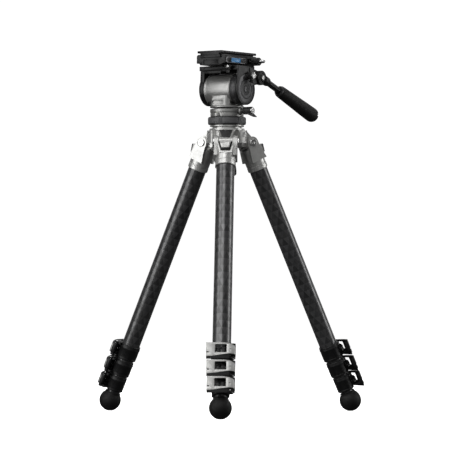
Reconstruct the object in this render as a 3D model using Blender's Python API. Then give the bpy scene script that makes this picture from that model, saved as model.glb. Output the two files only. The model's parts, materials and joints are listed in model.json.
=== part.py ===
"""Video tripod: three four-section carbon legs, a levelling base and a fluid pan and tilt head.

Metres, +Z up. The feet stand on z = 0, and the origin is at the middle of the whole object's footprint.
"""
import math

import bmesh
import bpy
from mathutils import Matrix, Vector

# Driving dimensions of the stand
LEG_SPLAY = math.radians(24.5)
LEG_LENGTH = 0.4487
FOOT_RADIUS = 0.0175
FOOT_FLAT = 0.0004
PIVOT_REACH = 0.0366
PIVOT_HEIGHT = FOOT_RADIUS - FOOT_FLAT + LEG_LENGTH * math.cos(LEG_SPLAY)
LEG_TURNS = {1: -90.0, 2: 30.0, 3: 150.0}

# Facets round small and large turned pieces
SIDES = 20
ROUND_SIDES = 32

# Leg tubes: outer radius, top and bottom distance from the pivot along the leg
TUBE_RADII = (0.01425, 0.01275, 0.0112, 0.00965)
TUBE_TOPS = (0.012, 0.030, 0.045, 0.060)
TUBE_ENDS = (0.3655, 0.3925, 0.4195, 0.4440)
TUBE_WALL = 0.0012
FIT_GAP = 0.0003

# Clamp collars and flip levers
CLAMP_CENTRES = (0.3629, 0.3910, 0.4181)
CLAMP_RADII = (0.0161, 0.0149, 0.0137)
CLAMP_HEIGHT = 0.0246
LEVER_HINGE = Vector((0.0188, -0.0152, 0.0))
LEVER_HALF_WIDTH = 0.0225
LEVER_HALF_HEIGHT = 0.0118
LEVER_OUTER = 0.0243
LEVER_INNER = 0.0212

# Fork at the top of each leg
CHEEK_INNER = 0.0118
CHEEK_OUTER = 0.0180
CHEEK_RADIUS = 0.0095
SLEEVE_RADIUS = 0.0160
SLEEVE_END = 0.0450
BOLT_RADIUS = 0.0032
BOLT_HEAD_RADIUS = 0.0055
BOLT_HEAD_DEPTH = 0.0022

# Crown and levelling base, heights above the floor
BALL_CENTRE = 0.4490
BALL_RADIUS = 0.0230
LINER_INNER = 0.0234
LINER_OUTER = 0.0239
BOWL_RADIUS = 0.0243
CROWN_TOP = 0.4470
CROWN_BOTTOM = 0.4210
CROWN_RADIUS = 0.0277
LEVEL_TOP = 0.4520
COLLAR_RADIUS = 0.0300
COLLAR_BOTTOM = 0.4530
COLLAR_TOP = 0.4650
HANDLE_BOTTOM = 0.3730

# Head: turned about the stand's axis, tilting about its own X axis
HEAD_TURN = math.radians(-32.5)
TILT_HEIGHT = 0.5080
DRUM_RADIUS = 0.0245
BASE_RADIUS = 0.0268
PAN_SPLIT = 0.4776
ARM_LEFT = (-0.0363, -0.0290)
HOUSING = (-0.0285, 0.0203)
DIAL = (0.0208, 0.0325)
ARM_RIGHT = (0.0330, 0.0363)
SHAFT_RADIUS = 0.0050
PLATE_LENGTH = 0.0950
PLATE_WIDTH = 0.0460
PLATE_TOP = 0.5670
SCREW_PLACE = 0.0104

# Pan handle
ROSETTE = Vector((0.0380, 0.0320, 0.5270))
HANDLE_DROP = math.radians(20.0)
BAR_RADIUS = 0.0050
BAR_REACH = 0.1500
GRIP_START = 0.0540
GRIP_END = 0.1630
GRIP_RADIUS = 0.0118

# The stand's axis, measured from the middle of the footprint
STAND_AXIS = Vector((-0.0021, 0.0513, 0.0))

# Materials: colour, roughness, metallic
FINISHES = {
    "satin_alloy": ((0.56, 0.55, 0.53, 1.0), 0.38, 0.9),
    "black_alloy": ((0.018, 0.018, 0.019, 1.0), 0.42, 0.6),
    "grey_plastic": ((0.075, 0.075, 0.078, 1.0), 0.5, 0.0),
    "carbon": ((0.030, 0.030, 0.032, 1.0), 0.25, 0.1),
    "bright_steel": ((0.70, 0.70, 0.70, 1.0), 0.2, 1.0),
    "rubber": ((0.016, 0.016, 0.016, 1.0), 0.8, 0.0),
    "blue_plastic": ((0.012, 0.19, 0.42, 1.0), 0.4, 0.0),
}


def finish(name):
    """The named finish as a Principled material."""
    material = bpy.data.materials.get(name)
    if material is None:
        colour, roughness, metallic = FINISHES[name]
        material = bpy.data.materials.new(name)
        material.use_nodes = True
        shader = material.node_tree.nodes["Principled BSDF"]
        shader.inputs["Base Color"].default_value = colour
        shader.inputs["Roughness"].default_value = roughness
        shader.inputs["Metallic"].default_value = metallic
    return material


def place(name, matrix, parent=None):
    """An empty that carries pieces, placed by a matrix in its parent's frame."""
    empty = bpy.data.objects.new(name, None)
    bpy.context.collection.objects.link(empty)
    empty.parent = parent
    empty.matrix_local = matrix
    return empty


def piece(name, shape, parent, finish_name):
    """A named object from a bmesh, smooth where it is round, in its parent's frame."""
    mesh = bpy.data.meshes.new(name)
    bmesh.ops.recalc_face_normals(shape, faces=shape.faces)
    shape.to_mesh(mesh)
    shape.free()
    mesh.shade_smooth()
    mesh.set_sharp_from_angle(angle=math.radians(35.0))
    part = bpy.data.objects.new(name, mesh)
    bpy.context.collection.objects.link(part)
    part.parent = parent
    if finish_name:
        mesh.materials.append(finish(finish_name))
    return part


def combine(part, shape, operation):
    """Joins a shape to a part, or cuts it away, with a Boolean modifier."""
    count = len(part.modifiers) + 1
    tool = piece(f"{part.name}_tool_{count}", shape, part, None)
    tool.hide_render = True
    tool.display_type = "WIRE"
    modifier = part.modifiers.new(f"{operation.title()} {count}", "BOOLEAN")
    modifier.operation = operation
    modifier.solver = "EXACT"
    modifier.object = tool


def join(part, *shapes):
    """Adds shapes to a part."""
    for shape in shapes:
        combine(part, shape, "UNION")


def cut(part, *shapes):
    """Cuts shapes from a part."""
    for shape in shapes:
        combine(part, shape, "DIFFERENCE")


def turned(profile, sides, ring=False):
    """A profile of (radius, height) points spun about Z; a ring's last point meets its first."""
    shape = bmesh.new()
    rows = []
    for radius, height in profile:
        if radius == 0.0:
            rows.append([shape.verts.new((0.0, 0.0, height))])
            continue
        angles = [math.tau * step / sides for step in range(sides)]
        rows.append([shape.verts.new((radius * math.cos(a), radius * math.sin(a), height)) for a in angles])
    pairs = list(zip(rows, rows[1:]))
    if ring:
        pairs.append((rows[-1], rows[0]))
    for near, far in pairs:
        for step in range(sides):
            after = (step + 1) % sides
            corners = (near[step % len(near)], near[after % len(near)], far[after % len(far)], far[step % len(far)])
            if len(set(corners)) > 2:
                shape.faces.new(dict.fromkeys(corners))
    return shape


def extruded(outline, low, high):
    """A flat outline of (x, y) points pushed from low to high along Z."""
    shape = bmesh.new()
    face = shape.faces.new([shape.verts.new((x, y, low)) for x, y in outline])
    grown = bmesh.ops.extrude_face_region(shape, geom=[face])
    raised = [item for item in grown["geom"] if isinstance(item, bmesh.types.BMVert)]
    bmesh.ops.translate(shape, verts=raised, vec=(0.0, 0.0, high - low))
    return shape


def block(low, high, chamfer=0.0):
    """A box between two corners, with its edges chamfered."""
    shape = extruded(((low[0], low[1]), (high[0], low[1]), (high[0], high[1]), (low[0], high[1])), low[2], high[2])
    if chamfer:
        bmesh.ops.bevel(shape, geom=shape.edges[:], offset=chamfer, segments=1, affect="EDGES")
    return shape


def moved(shape, matrix):
    """The shape, moved by a matrix."""
    bmesh.ops.transform(shape, matrix=matrix, verts=shape.verts)
    return shape


def along_x(shape, y=0.0, z=0.0):
    """A shape built on Z, laid along X so that its Z runs to +X, at a height and depth."""
    return moved(shape, Matrix.Translation((0.0, y, z)) @ Matrix.Rotation(math.pi / 2.0, 4, "Y"))


def sideways(shape):
    """An outline drawn as (y, z) and extruded, turned so that it is pushed along X."""
    return moved(shape, Matrix(((0, 0, 1, 0), (1, 0, 0, 0), (0, 1, 0, 0), (0, 0, 0, 1))))


def endways(shape):
    """An outline drawn as (x, z) and extruded, turned so that it is pushed along Y."""
    return moved(shape, Matrix(((1, 0, 0, 0), (0, 0, 1, 0), (0, 1, 0, 0), (0, 0, 0, 1))))


def arc(centre, radius, start, end, steps):
    """Points on an arc, with its angles in degrees."""
    angles = [math.radians(start + (end - start) * step / steps) for step in range(steps + 1)]
    return [(centre[0] + radius * math.cos(a), centre[1] + radius * math.sin(a)) for a in angles]


def rod(radius, low, high, sides):
    """A plain cylinder on Z."""
    return turned(((0.0, low), (radius, low), (radius, high), (0.0, high)), sides)


def leg_frames():
    """One empty per leg at its pivot: Z up the leg, X across it, outward side at -Y."""
    frames = {}
    for number, turn in LEG_TURNS.items():
        around = Matrix.Rotation(math.radians(turn + 90.0), 4, "Z")
        lean = Matrix.Translation((0.0, -PIVOT_REACH, PIVOT_HEIGHT)) @ Matrix.Rotation(-LEG_SPLAY, 4, "X")
        frames[number] = around @ lean
    return frames


def make_yoke(leg, name):
    """Fork and sleeve: two cheeks beside the crown's tongue, and a sleeve for the first tube."""
    yoke = piece(name, rod(SLEEVE_RADIUS, -SLEEVE_END, -0.0085, SIDES), leg, "satin_alloy")
    for side in (-1.0, 1.0):
        low, high = sorted((side * CHEEK_INNER, side * CHEEK_OUTER))
        outline = [(-0.0120, -0.0300), (0.0120, -0.0300)] + arc((0.0, 0.0), CHEEK_RADIUS, 0.0, 180.0, 6)
        join(yoke, sideways(extruded(outline, low, high)))
    join(yoke, block((-0.0122, -SLEEVE_RADIUS, -0.0260), (0.0122, -0.0090, -0.0086), 0.0008))
    bore = TUBE_RADII[0] + FIT_GAP
    cut(yoke, rod(bore, -SLEEVE_END - 0.002, FIT_GAP - TUBE_TOPS[0], SIDES))
    cut(yoke, along_x(rod(BOLT_RADIUS + FIT_GAP, -0.03, 0.03, 12)))


def make_bolt(leg, name):
    """Pivot bolt across the fork, with a round head on each side."""
    face = CHEEK_OUTER + FIT_GAP
    head = face + BOLT_HEAD_DEPTH
    half = [(BOLT_RADIUS, face), (BOLT_HEAD_RADIUS, face), (BOLT_HEAD_RADIUS, head - 0.0006), (0.0047, head)]
    mirrored = [(radius, -height) for radius, height in reversed(half)]
    profile = [(0.0, -head)] + mirrored + half + [(0.0, head)]
    piece(name, along_x(turned(profile, 12)), leg, "bright_steel")


def make_catch(leg, name):
    """Sliding catch on the fork's outer face that sets the leg's spread."""
    outline = ((-0.0115, -0.0092), (-0.0078, -0.0232), (0.0078, -0.0232), (0.0115, -0.0092))
    catch = endways(extruded(outline, -SLEEVE_RADIUS - 0.0036, -SLEEVE_RADIUS - FIT_GAP))
    piece(name, catch, leg, "black_alloy")


def make_clamp(leg, name, number):
    """Clamp collar with a lug under the lever and two ears for the lever's hinge."""
    middle = -CLAMP_CENTRES[number]
    radius = CLAMP_RADII[number]
    half = CLAMP_HEIGHT / 2.0
    seat = place(f"{name}_seat", Matrix.Translation((0.0, 0.0, middle)), leg)
    clamp = piece(name, rod(radius, -half, half, SIDES), seat, "black_alloy")
    join(clamp, block((-0.0070, -0.0204, -0.0085), (0.0070, -0.0100, 0.0085)))
    for low, high in ((-0.0120, -0.0090), (0.0090, 0.0120)):
        join(clamp, block((0.0060, -0.0184, low), (0.0215, -0.0080, high)))
    upper = TUBE_RADII[number] + FIT_GAP
    lower = TUBE_RADII[number + 1] + FIT_GAP
    step = -TUBE_ENDS[number] - FIT_GAP - middle
    bore = ((0.0, -0.02), (lower, -0.02), (lower, step), (upper, step), (upper, 0.02), (0.0, 0.02))
    cut(clamp, turned(bore, SIDES))


def make_lever(leg, name, number):
    """Flip lever: a windowed plate across the outer side, hinged beside the tube."""
    hinge = place(f"{name}_axis", Matrix.Translation(LEVER_HINGE + Vector((0, 0, -CLAMP_CENTRES[number]))), leg)
    left, outer, inner = -LEVER_HALF_WIDTH, -LEVER_OUTER, -LEVER_INNER
    plate = ((left, outer + 0.001), (left + 0.001, outer), (0.0125, outer), (0.0125, inner), (left, inner))
    arm = [(0.0120, inner), (0.0120, outer + 0.0002), (0.0165, outer + 0.0008), (0.0205, -0.0212), (0.0222, -0.0175)]
    arm += arc(LEVER_HINGE, 0.0034, 0.0, 180.0, 4) + [(0.0154, -0.0190)]
    to_hinge = Matrix.Translation(-LEVER_HINGE)
    half = LEVER_HALF_HEIGHT
    lever = piece(name, moved(extruded(plate, -half, half), to_hinge), hinge, "satin_alloy")
    join(lever, moved(extruded(arm, -0.0084, 0.0084), to_hinge))
    cut(lever, moved(block((-0.0090, -0.03, -0.0040), (0.0090, -0.015, 0.0080)), to_hinge))


def make_foot(leg, name):
    """Rubber ball foot, flat where it stands, with a socket for the last tube."""
    centre = -LEG_LENGTH
    socket = TUBE_RADII[3] + FIT_GAP
    ball = [(FOOT_RADIUS * math.cos(a), centre + FOOT_RADIUS * math.sin(a))
            for a in (math.radians(step) for step in range(-72, 50, 18))]
    end = -TUBE_ENDS[3] - FIT_GAP
    profile = [(0.0, centre - FOOT_RADIUS)] + ball + [(socket + 0.0016, -0.4340), (socket, -0.4340)]
    shape = turned(profile + [(socket, end), (0.0, end)], SIDES)
    down = Vector((0.0, math.sin(LEG_SPLAY), -math.cos(LEG_SPLAY)))
    touch = Vector((0.0, 0.0, centre)) + down * (FOOT_RADIUS - FOOT_FLAT)
    whole = shape.verts[:] + shape.edges[:] + shape.faces[:]
    cutting = bmesh.ops.bisect_plane(shape, geom=whole, plane_co=touch, plane_no=down, clear_outer=True)
    rim = [item for item in cutting["geom_cut"] if isinstance(item, bmesh.types.BMEdge)]
    bmesh.ops.contextual_create(shape, geom=rim)
    piece(name, shape, leg, "rubber")


def make_leg(stand, number, matrix):
    """One leg with its four tubes, three clamps with levers, and its foot."""
    leg = place(f"leg_{number}_axis", matrix, stand)
    make_yoke(leg, f"leg_{number}_yoke")
    make_bolt(leg, f"leg_{number}_pivot_bolt")
    make_catch(leg, f"leg_{number}_angle_catch")
    for step, radius in enumerate(TUBE_RADII):
        top, end = -TUBE_TOPS[step], -TUBE_ENDS[step]
        profile = ((radius, top), (radius, end), (radius - TUBE_WALL, end), (radius - TUBE_WALL, top))
        piece(f"leg_{number}_tube_{step + 1}", turned(profile, SIDES, ring=True), leg, "carbon")
    for step in range(3):
        make_clamp(leg, f"leg_{number}_clamp_{step + 1}", step)
        make_lever(leg, f"leg_{number}_lever_{step + 1}", step)
    make_foot(leg, f"leg_{number}_foot")


def bowl_profile(radius, start, end, steps):
    """Points down a ball's side, with angles in degrees below its middle."""
    angles = [math.radians(start + (end - start) * step / steps) for step in range(steps + 1)]
    return [(radius * math.cos(a), BALL_CENTRE - radius * math.sin(a)) for a in angles]


def make_crown(stand):
    """Casting with the bowl on top, a tongue for each leg and a lug between each pair."""
    outside = [(CROWN_RADIUS, 0.4440), (0.0252, 0.4430), (0.0240, 0.4360), (0.0240, 0.4240), (0.0212, CROWN_BOTTOM)]
    inside = [(0.0090, CROWN_BOTTOM)] + list(reversed(bowl_profile(BOWL_RADIUS, 5.0, 67.0, 5)))
    profile = [(CROWN_RADIUS, CROWN_TOP)] + outside + inside
    crown = piece("crown", turned(profile, ROUND_SIDES, ring=True), stand, "satin_alloy")
    for turn in LEG_TURNS.values():
        around = Matrix.Rotation(math.radians(turn), 4, "Z")
        tip = arc((PIVOT_REACH, PIVOT_HEIGHT), 0.0075, -90.0, 90.0, 6)
        tongue = [(0.0200, PIVOT_HEIGHT - 0.0075)] + tip + [(0.0200, PIVOT_HEIGHT + 0.0075)]
        width = CHEEK_INNER - 0.0004
        join(crown, moved(endways(extruded(tongue, -width, width)), around))
        bolt = Matrix.Translation((PIVOT_REACH, 0.0, PIVOT_HEIGHT)) @ Matrix.Rotation(math.pi / 2.0, 4, "X")
        cut(crown, moved(rod(BOLT_RADIUS + FIT_GAP, -0.02, 0.02, 12), around @ bolt))
        between = Matrix.Rotation(math.radians(turn + 60.0), 4, "Z")
        outline = ((0.0234, -0.0080), (0.0305, -0.0080), (0.0320, -0.0060))
        outline += ((0.0320, 0.0060), (0.0305, 0.0080), (0.0234, 0.0080))
        join(crown, moved(extruded(outline, 0.4240, 0.4436), between))


def make_levelling(stand):
    """Bowl liner, half ball with its stud, hanging handle and grip collar."""
    tilt = place("level_axis", Matrix.Translation((0.0, 0.0, BALL_CENTRE)), stand)
    drop = Matrix.Translation((0.0, 0.0, -BALL_CENTRE))
    liner = bowl_profile(LINER_OUTER, 12.0, 60.0, 4) + list(reversed(bowl_profile(LINER_INNER, 12.0, 60.0, 4)))
    piece("level_liner", moved(turned(liner, ROUND_SIDES, ring=True), drop), tilt, "grey_plastic")
    ball = [(0.0, LEVEL_TOP), (0.0270, LEVEL_TOP), (0.0270, LEVEL_TOP - 0.0020)]
    ball += bowl_profile(BALL_RADIUS, 0.0, 78.0, 5) + [(0.0040, 0.4262), (0.0040, 0.3950), (0.0, 0.3950)]
    piece("level_ball", moved(turned(ball, ROUND_SIDES), drop), tilt, "satin_alloy")
    handle = [(0.0043, 0.4178), (0.0100, 0.4178), (0.0112, 0.4160), (0.0112, 0.4080), (0.0126, 0.4000)]
    handle += [(0.0150, 0.3820), (0.0150, 0.3760), (0.0125, HANDLE_BOTTOM), (0.0, HANDLE_BOTTOM), (0.0, 0.3940)]
    piece("level_handle", moved(turned(handle + [(0.0043, 0.3940)], SIDES, ring=True), drop), tilt, "black_alloy")
    low, high = COLLAR_BOTTOM, COLLAR_TOP
    collar = ((0.0262, low), (0.0288, low), (COLLAR_RADIUS, low + 0.0014), (COLLAR_RADIUS, high - 0.0014))
    collar += ((0.0288, high), (0.0262, high))
    piece("level_collar", moved(turned(collar, ROUND_SIDES, ring=True), drop), tilt, "black_alloy")
    return tilt


def make_pan_base(base):
    """Fixed lower part of the head, with the bearing for the pan spindle."""
    profile = [(0.0, LEVEL_TOP + FIT_GAP), (0.0258, LEVEL_TOP + FIT_GAP), (0.0258, COLLAR_TOP + FIT_GAP)]
    profile += [(0.0262, COLLAR_TOP + FIT_GAP), (0.0262, 0.4716), (BASE_RADIUS, 0.4722)]
    profile += [(BASE_RADIUS, PAN_SPLIT - 0.0006), (BASE_RADIUS - 0.0008, PAN_SPLIT)]
    profile += [(0.0063, PAN_SPLIT), (0.0063, 0.4565), (0.0, 0.4565)]
    part = piece("pan_base", turned(profile, ROUND_SIDES), base, "satin_alloy")
    cut(part, along_x(rod(0.0033, 0.0190, 0.0400, 12), z=0.4742))


def make_lock_knob(name, pivot, hub, tip):
    """Lock knob on X: a shaft, a round hub and a wedge that a thumb turns."""
    start, shoulder, end = hub
    profile = ((0.0, start), (0.0030, start), (0.0030, shoulder), (0.0054, shoulder), (0.0060, shoulder + 0.001))
    profile += ((0.0060, end - 0.0008), (0.0052, end), (0.0, end))
    knob = piece(name, along_x(turned(profile, 16)), pivot, "black_alloy")
    reach, drop = tip
    wedge = ((shoulder + 0.004, -0.0040), (end - 0.0015, -0.0040), (reach, -drop), (reach - 0.0070, -drop * 0.82))
    join(knob, endways(extruded(wedge, -0.0042, 0.0042)))


def make_head_body(pan):
    """Turning casting: disc, neck and drum housing, with the pan spindle below."""
    disc = ((0.0, 0.4570), (0.0060, 0.4570), (0.0060, 0.4796), (BASE_RADIUS, 0.4796))
    disc += ((BASE_RADIUS, 0.4820), (BASE_RADIUS - 0.0010, 0.4828), (0.0, 0.4828))
    body = piece("head_body", turned(disc, ROUND_SIDES), pan, "satin_alloy")
    start, end = HOUSING
    join(body, along_x(rod(DRUM_RADIUS, start, end, ROUND_SIDES), z=TILT_HEIGHT))
    neck = ((-0.0170, -0.0200), (-0.0120, -0.0235), (0.0120, -0.0235), (0.0180, -0.0180))
    neck += ((0.0180, 0.0180), (0.0120, 0.0235), (-0.0120, 0.0235), (-0.0170, 0.0200))
    join(body, extruded(neck, 0.4818, 0.4980))
    cut(body, along_x(rod(SHAFT_RADIUS + FIT_GAP, -0.05, 0.05, 16), z=TILT_HEIGHT))


def ring_on_x(inner, outer, start, end, chamfer, sides=ROUND_SIDES):
    """A chamfered ring on X, about the ring's own axis."""
    profile = ((inner, start), (outer - chamfer, start), (outer, start + chamfer))
    profile += ((outer, end - chamfer), (outer - chamfer, end), (inner, end))
    return along_x(turned(profile, sides, ring=True))


def make_cradle(tilt):
    """Two arms on the shaft through the drum, the bridge over it and the bracket of the pan handle."""
    rise = 0.5445 - TILT_HEIGHT
    floor = 0.5375 - TILT_HEIGHT
    bridge = block((ARM_LEFT[0] + 0.0004, -0.0240, floor), (ARM_RIGHT[1] - 0.0004, 0.0240, rise))
    cradle = piece("tilt_cradle", bridge, tilt, "black_alloy")
    for start, end in (ARM_LEFT, ARM_RIGHT):
        arm = [(-0.0200, rise - 0.0008)] + arc((0.0, 0.0), 0.0248, 150.0, 390.0, 20) + [(0.0200, rise - 0.0008)]
        join(cradle, sideways(extruded(arm, start, end)))
    y, z = ROSETTE.y, ROSETTE.z - TILT_HEIGHT
    web = [(0.0100, rise - 0.002), (0.0100, 0.0060)] + arc((y, z), 0.0105, -70.0, 80.0, 8)
    join(cradle, sideways(extruded(web, ARM_RIGHT[0] + 0.0002, ROSETTE.x - FIT_GAP)))
    join(cradle, along_x(rod(SHAFT_RADIUS, ARM_LEFT[0] + 0.0003, ARM_RIGHT[1] - 0.0003, 16)))
    cut(cradle, along_x(rod(0.0033, 0.0300, 0.0500, 12), y=0.0060, z=0.0210))
    cut(cradle, along_x(rod(0.0043, 0.0300, 0.0500, 12), y=y, z=z))


def make_platform(tilt):
    """Platform with the dovetail channel, its plate lock knob and its release button."""
    half = [(0.0275, 0.5450), (0.0275, 0.5585), (0.0248, 0.5615), (0.0182, 0.5615), (0.0204, 0.5566)]
    outline = half + [(-x, z) for x, z in reversed(half)]
    drop = Matrix.Translation((0.0, 0.0, -TILT_HEIGHT))
    clamp = piece("plate_clamp", moved(endways(extruded(outline, -0.0440, 0.0440)), drop), tilt, "black_alloy")
    rise = 0.5525 - TILT_HEIGHT
    cut(clamp, moved(block((0.0232, -0.0272, 0.5488), (0.0300, -0.0024, 0.5562)), drop))
    cut(clamp, along_x(rod(0.0033, 0.0240, 0.0400, 12), y=0.0290, z=rise))

    lock = place("plate_lock_axis", Matrix.Translation((0.0, 0.0290, rise)), tilt)
    knob = ((0.0, 0.0246), (0.0030, 0.0246), (0.0030, 0.0285), (0.0058, 0.0285), (0.0064, 0.0295), (0.0064, 0.0420))
    knob += ((0.0056, 0.0430), (0.0028, 0.0430), (0.0028, 0.0512), (0.0022, 0.0518), (0.0, 0.0518))
    piece("plate_lock_knob", along_x(turned(knob, 16)), lock, "black_alloy")

    press = place("button_axis", Matrix.Translation((0.0256, -0.0148, rise)), tilt)
    button = block((-0.0002, -0.0120, -0.0033), (0.0024, 0.0120, 0.0033), 0.0006)
    piece("safety_button", button, press, "blue_plastic")


def make_plate(tilt):
    """Quick release plate with its rail and slot, and the camera screw."""
    slide = place("plate_axis", Matrix.Translation((0.0, 0.0, PLATE_TOP - TILT_HEIGHT)), tilt)
    wide, slab = PLATE_WIDTH / 2.0, 0.0036
    half = [(wide - 0.0006, 0.0), (wide, -0.0006), (wide, -slab), (0.0169, -slab), (0.0198, -0.0100)]
    outline = half + [(-x, z) for x, z in reversed(half)]
    long = PLATE_LENGTH / 2.0
    plate = piece("quick_release_plate", endways(extruded(outline, -long, long)), slide, "black_alloy")
    for width, length, low, high in ((0.0036, 0.0120, -0.0110, 0.0010), (0.0062, 0.0150, -0.0110, -0.0038)):
        low_corner = (-width, SCREW_PLACE - length, low)
        cut(plate, block(low_corner, (width, SCREW_PLACE + length, high)))
    turn = place("screw_axis", Matrix.Translation((0.0, SCREW_PLACE, 0.0)), slide)
    screw = ((0.0, -0.0072), (0.0056, -0.0072), (0.0056, -0.0041), (0.0032, -0.0041), (0.0032, 0.0026))
    screw += ((0.0028, 0.0030), (0.0, 0.0030))
    piece("camera_screw", turned(screw, 12), turn, "bright_steel")


def make_handle(tilt):
    """Pan handle: rosette hub, straight bar and rubber grip."""
    seat = ROSETTE - Vector((0.0, 0.0, TILT_HEIGHT))
    joint = place("handle_axis", Matrix.Translation(seat), tilt)
    hub = ((0.0, -0.0080), (0.0040, -0.0080), (0.0040, 0.0), (0.0108, 0.0), (0.0115, 0.0008), (0.0115, 0.0072))
    hub += ((0.0105, 0.0084), (0.0060, 0.0084), (0.0060, 0.0100), (0.0, 0.0100))
    handle = piece("handle_bar", along_x(turned(hub, 24)), joint, "black_alloy")
    drop = Matrix.Translation((0.0054, 0.0, 0.0)) @ Matrix.Rotation(-math.pi / 2.0 - HANDLE_DROP, 4, "X")
    join(handle, moved(rod(BAR_RADIUS, 0.0040, BAR_REACH, 16), drop))
    end = GRIP_END - GRIP_RADIUS
    bore = BAR_RADIUS + FIT_GAP
    grip = [(bore, GRIP_START), (0.0080, GRIP_START), (0.0095, GRIP_START + 0.0020), (0.0097, GRIP_START + 0.0100)]
    grip += [(0.0108, 0.1050)]
    grip += [(GRIP_RADIUS * math.cos(a), end + GRIP_RADIUS * math.sin(a))
             for a in (math.radians(step) for step in range(0, 90, 22))]
    grip += [(0.0, GRIP_END), (0.0, BAR_REACH + 0.0005), (bore, BAR_REACH + 0.0005)]
    piece("handle_grip", moved(turned(grip, SIDES, ring=True), drop), joint, "rubber")


def make_head(level):
    """The fluid head on the levelling base."""
    base = place("head_base", Matrix.Translation((0.0, 0.0, -BALL_CENTRE)), level)
    turned_base = place("head_turn", Matrix.Rotation(HEAD_TURN, 4, "Z"), base)
    make_pan_base(turned_base)
    lock = place("pan_lock_axis", Matrix.Translation((0.0, 0.0, 0.4742)), turned_base)
    make_lock_knob("pan_lock_knob", lock, (0.0200, 0.0325, 0.0500), (0.0550, 0.0105))
    pan = place("pan_axis", Matrix.Identity(4), turned_base)
    make_head_body(pan)
    dial = place("dial_axis", Matrix.Translation((0.0, 0.0, TILT_HEIGHT)), pan)
    piece("counterbalance_dial", ring_on_x(0.0054, 0.0249, DIAL[0], DIAL[1], 0.0008), dial, "grey_plastic")
    tilt = place("tilt_axis", Matrix.Translation((0.0, 0.0, TILT_HEIGHT)), pan)
    make_cradle(tilt)
    brake = place("tilt_lock_axis", Matrix.Translation((0.0, 0.0060, 0.0210)), tilt)
    make_lock_knob("tilt_lock_knob", brake, (0.0335, 0.0382, 0.0480), (0.0500, 0.0125))
    make_platform(tilt)
    make_plate(tilt)
    make_handle(tilt)


def main():
    """Clears the scene and builds the whole tripod."""
    for old in list(bpy.data.objects):
        bpy.data.objects.remove(old, do_unlink=True)
    stand = place("stand_axis", Matrix.Translation(STAND_AXIS))
    for number, matrix in leg_frames().items():
        make_leg(stand, number, matrix)
    make_crown(stand)
    level = make_levelling(stand)
    make_head(level)


main()
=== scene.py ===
"""Looks of a video tripod with a fluid pan and tilt head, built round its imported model.

Outlines and profiles are in millimetres, and the tools that make a mesh turn them into metres.
"""
import json
import math

import bmesh
import bpy
from bpy.props import FloatProperty, FloatVectorProperty, PointerProperty
from mathutils import Matrix, Vector


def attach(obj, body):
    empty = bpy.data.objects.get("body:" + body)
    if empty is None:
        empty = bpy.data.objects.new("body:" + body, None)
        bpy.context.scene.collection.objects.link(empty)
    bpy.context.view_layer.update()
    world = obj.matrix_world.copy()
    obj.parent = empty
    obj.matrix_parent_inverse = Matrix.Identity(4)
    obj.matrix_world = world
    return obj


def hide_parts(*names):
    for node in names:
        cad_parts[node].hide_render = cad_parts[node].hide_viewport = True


bl_info = {
    "name": "Video Tripod",
    "version": (1, 0, 0),
    "blender": (4, 5, 0),
    "location": "3D View > Sidebar > Tripod",
    "description": "Finished pieces and materials for a video tripod and its fluid head",
    "category": "Add Mesh",
}

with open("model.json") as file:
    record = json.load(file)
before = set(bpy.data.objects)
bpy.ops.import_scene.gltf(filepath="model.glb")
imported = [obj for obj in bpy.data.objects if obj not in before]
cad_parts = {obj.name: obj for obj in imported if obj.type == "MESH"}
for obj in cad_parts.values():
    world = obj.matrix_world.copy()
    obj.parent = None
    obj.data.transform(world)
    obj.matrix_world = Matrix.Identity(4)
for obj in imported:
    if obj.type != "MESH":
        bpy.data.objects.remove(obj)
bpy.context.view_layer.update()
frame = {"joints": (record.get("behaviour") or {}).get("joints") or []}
JOINTS = {joint["name"]: joint for joint in frame["joints"]}
MM = 0.001
LEGS = (1, 2, 3)
TUBE_RADII = (14.25, 12.75, 11.2, 9.65)
CLAMP_CENTRES = (362.9, 391.0, 418.1)
CLAMP_RADII = (16.1, 14.9, 13.7)
TUBE_TOPS = (12.0, 30.0, 45.0, 60.0)
TUBE_ENDS = (365.5, 392.5, 419.5, 444.0)
TUBE_BODIES = ("top", "second", "third", "fourth")
LEVER_PIN = (18.8, -15.2, 0.0)
FOOT_CENTRE = 448.7
FOOT_RADIUS = 17.36
LEG_TURNS = (-90.0, 30.0, 150.0)
HINGE = (36.6, 0.0, 425.42)
CROWN_SCREW_HEIGHT = 438.6
BALL_HEIGHT = 449.0
PAN_KNOB_HEIGHT = 474.2
TILT_HEIGHT = 508.0
ROSETTE = Vector((38.0, 32.0, 527.0))
TILT_KNOB = (6.0, 529.0)
PLATE_KNOB = (29.0, 552.5)
BEVEL_ANGLE = 32.0
SHARP_ANGLE = 38.0


# ---------------------------------------------------------------- frames of the model

def basis(x_axis, z_axis, origin):
    """A frame from its X and Z directions and its origin, in metres."""
    x_axis = Vector(x_axis).normalized()
    z_axis = Vector(z_axis).normalized()
    y_axis = z_axis.cross(x_axis)
    rows = Matrix((x_axis, y_axis, z_axis)).transposed().to_4x4()
    return Matrix.Translation(Vector(origin)) @ rows


def leg_frame(number):
    """A leg's pivot: X across the leg, Z up it, outward side at -Y."""
    spread = JOINTS[f"leg_{number}_spread"]
    down = JOINTS[f"leg_{number}_extend_1"]["axis"]
    return basis([-c for c in spread["axis"]], [-c for c in down], spread["pos_m"])


def stand_frame():
    """The stand's axis on the floor, with the axes of the whole model."""
    x, y, _ = JOINTS["pan"]["pos_m"]
    return shift(x, y, 0.0)


def head_frame():
    """The head's axis on the floor: X along the tilt axis, Y to the rear."""
    x, y, _ = JOINTS["pan"]["pos_m"]
    return basis(JOINTS["tilt"]["axis"], (0.0, 0.0, 1.0), (x, y, 0.0))


# ---------------------------------------------------------------- mesh tools

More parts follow.
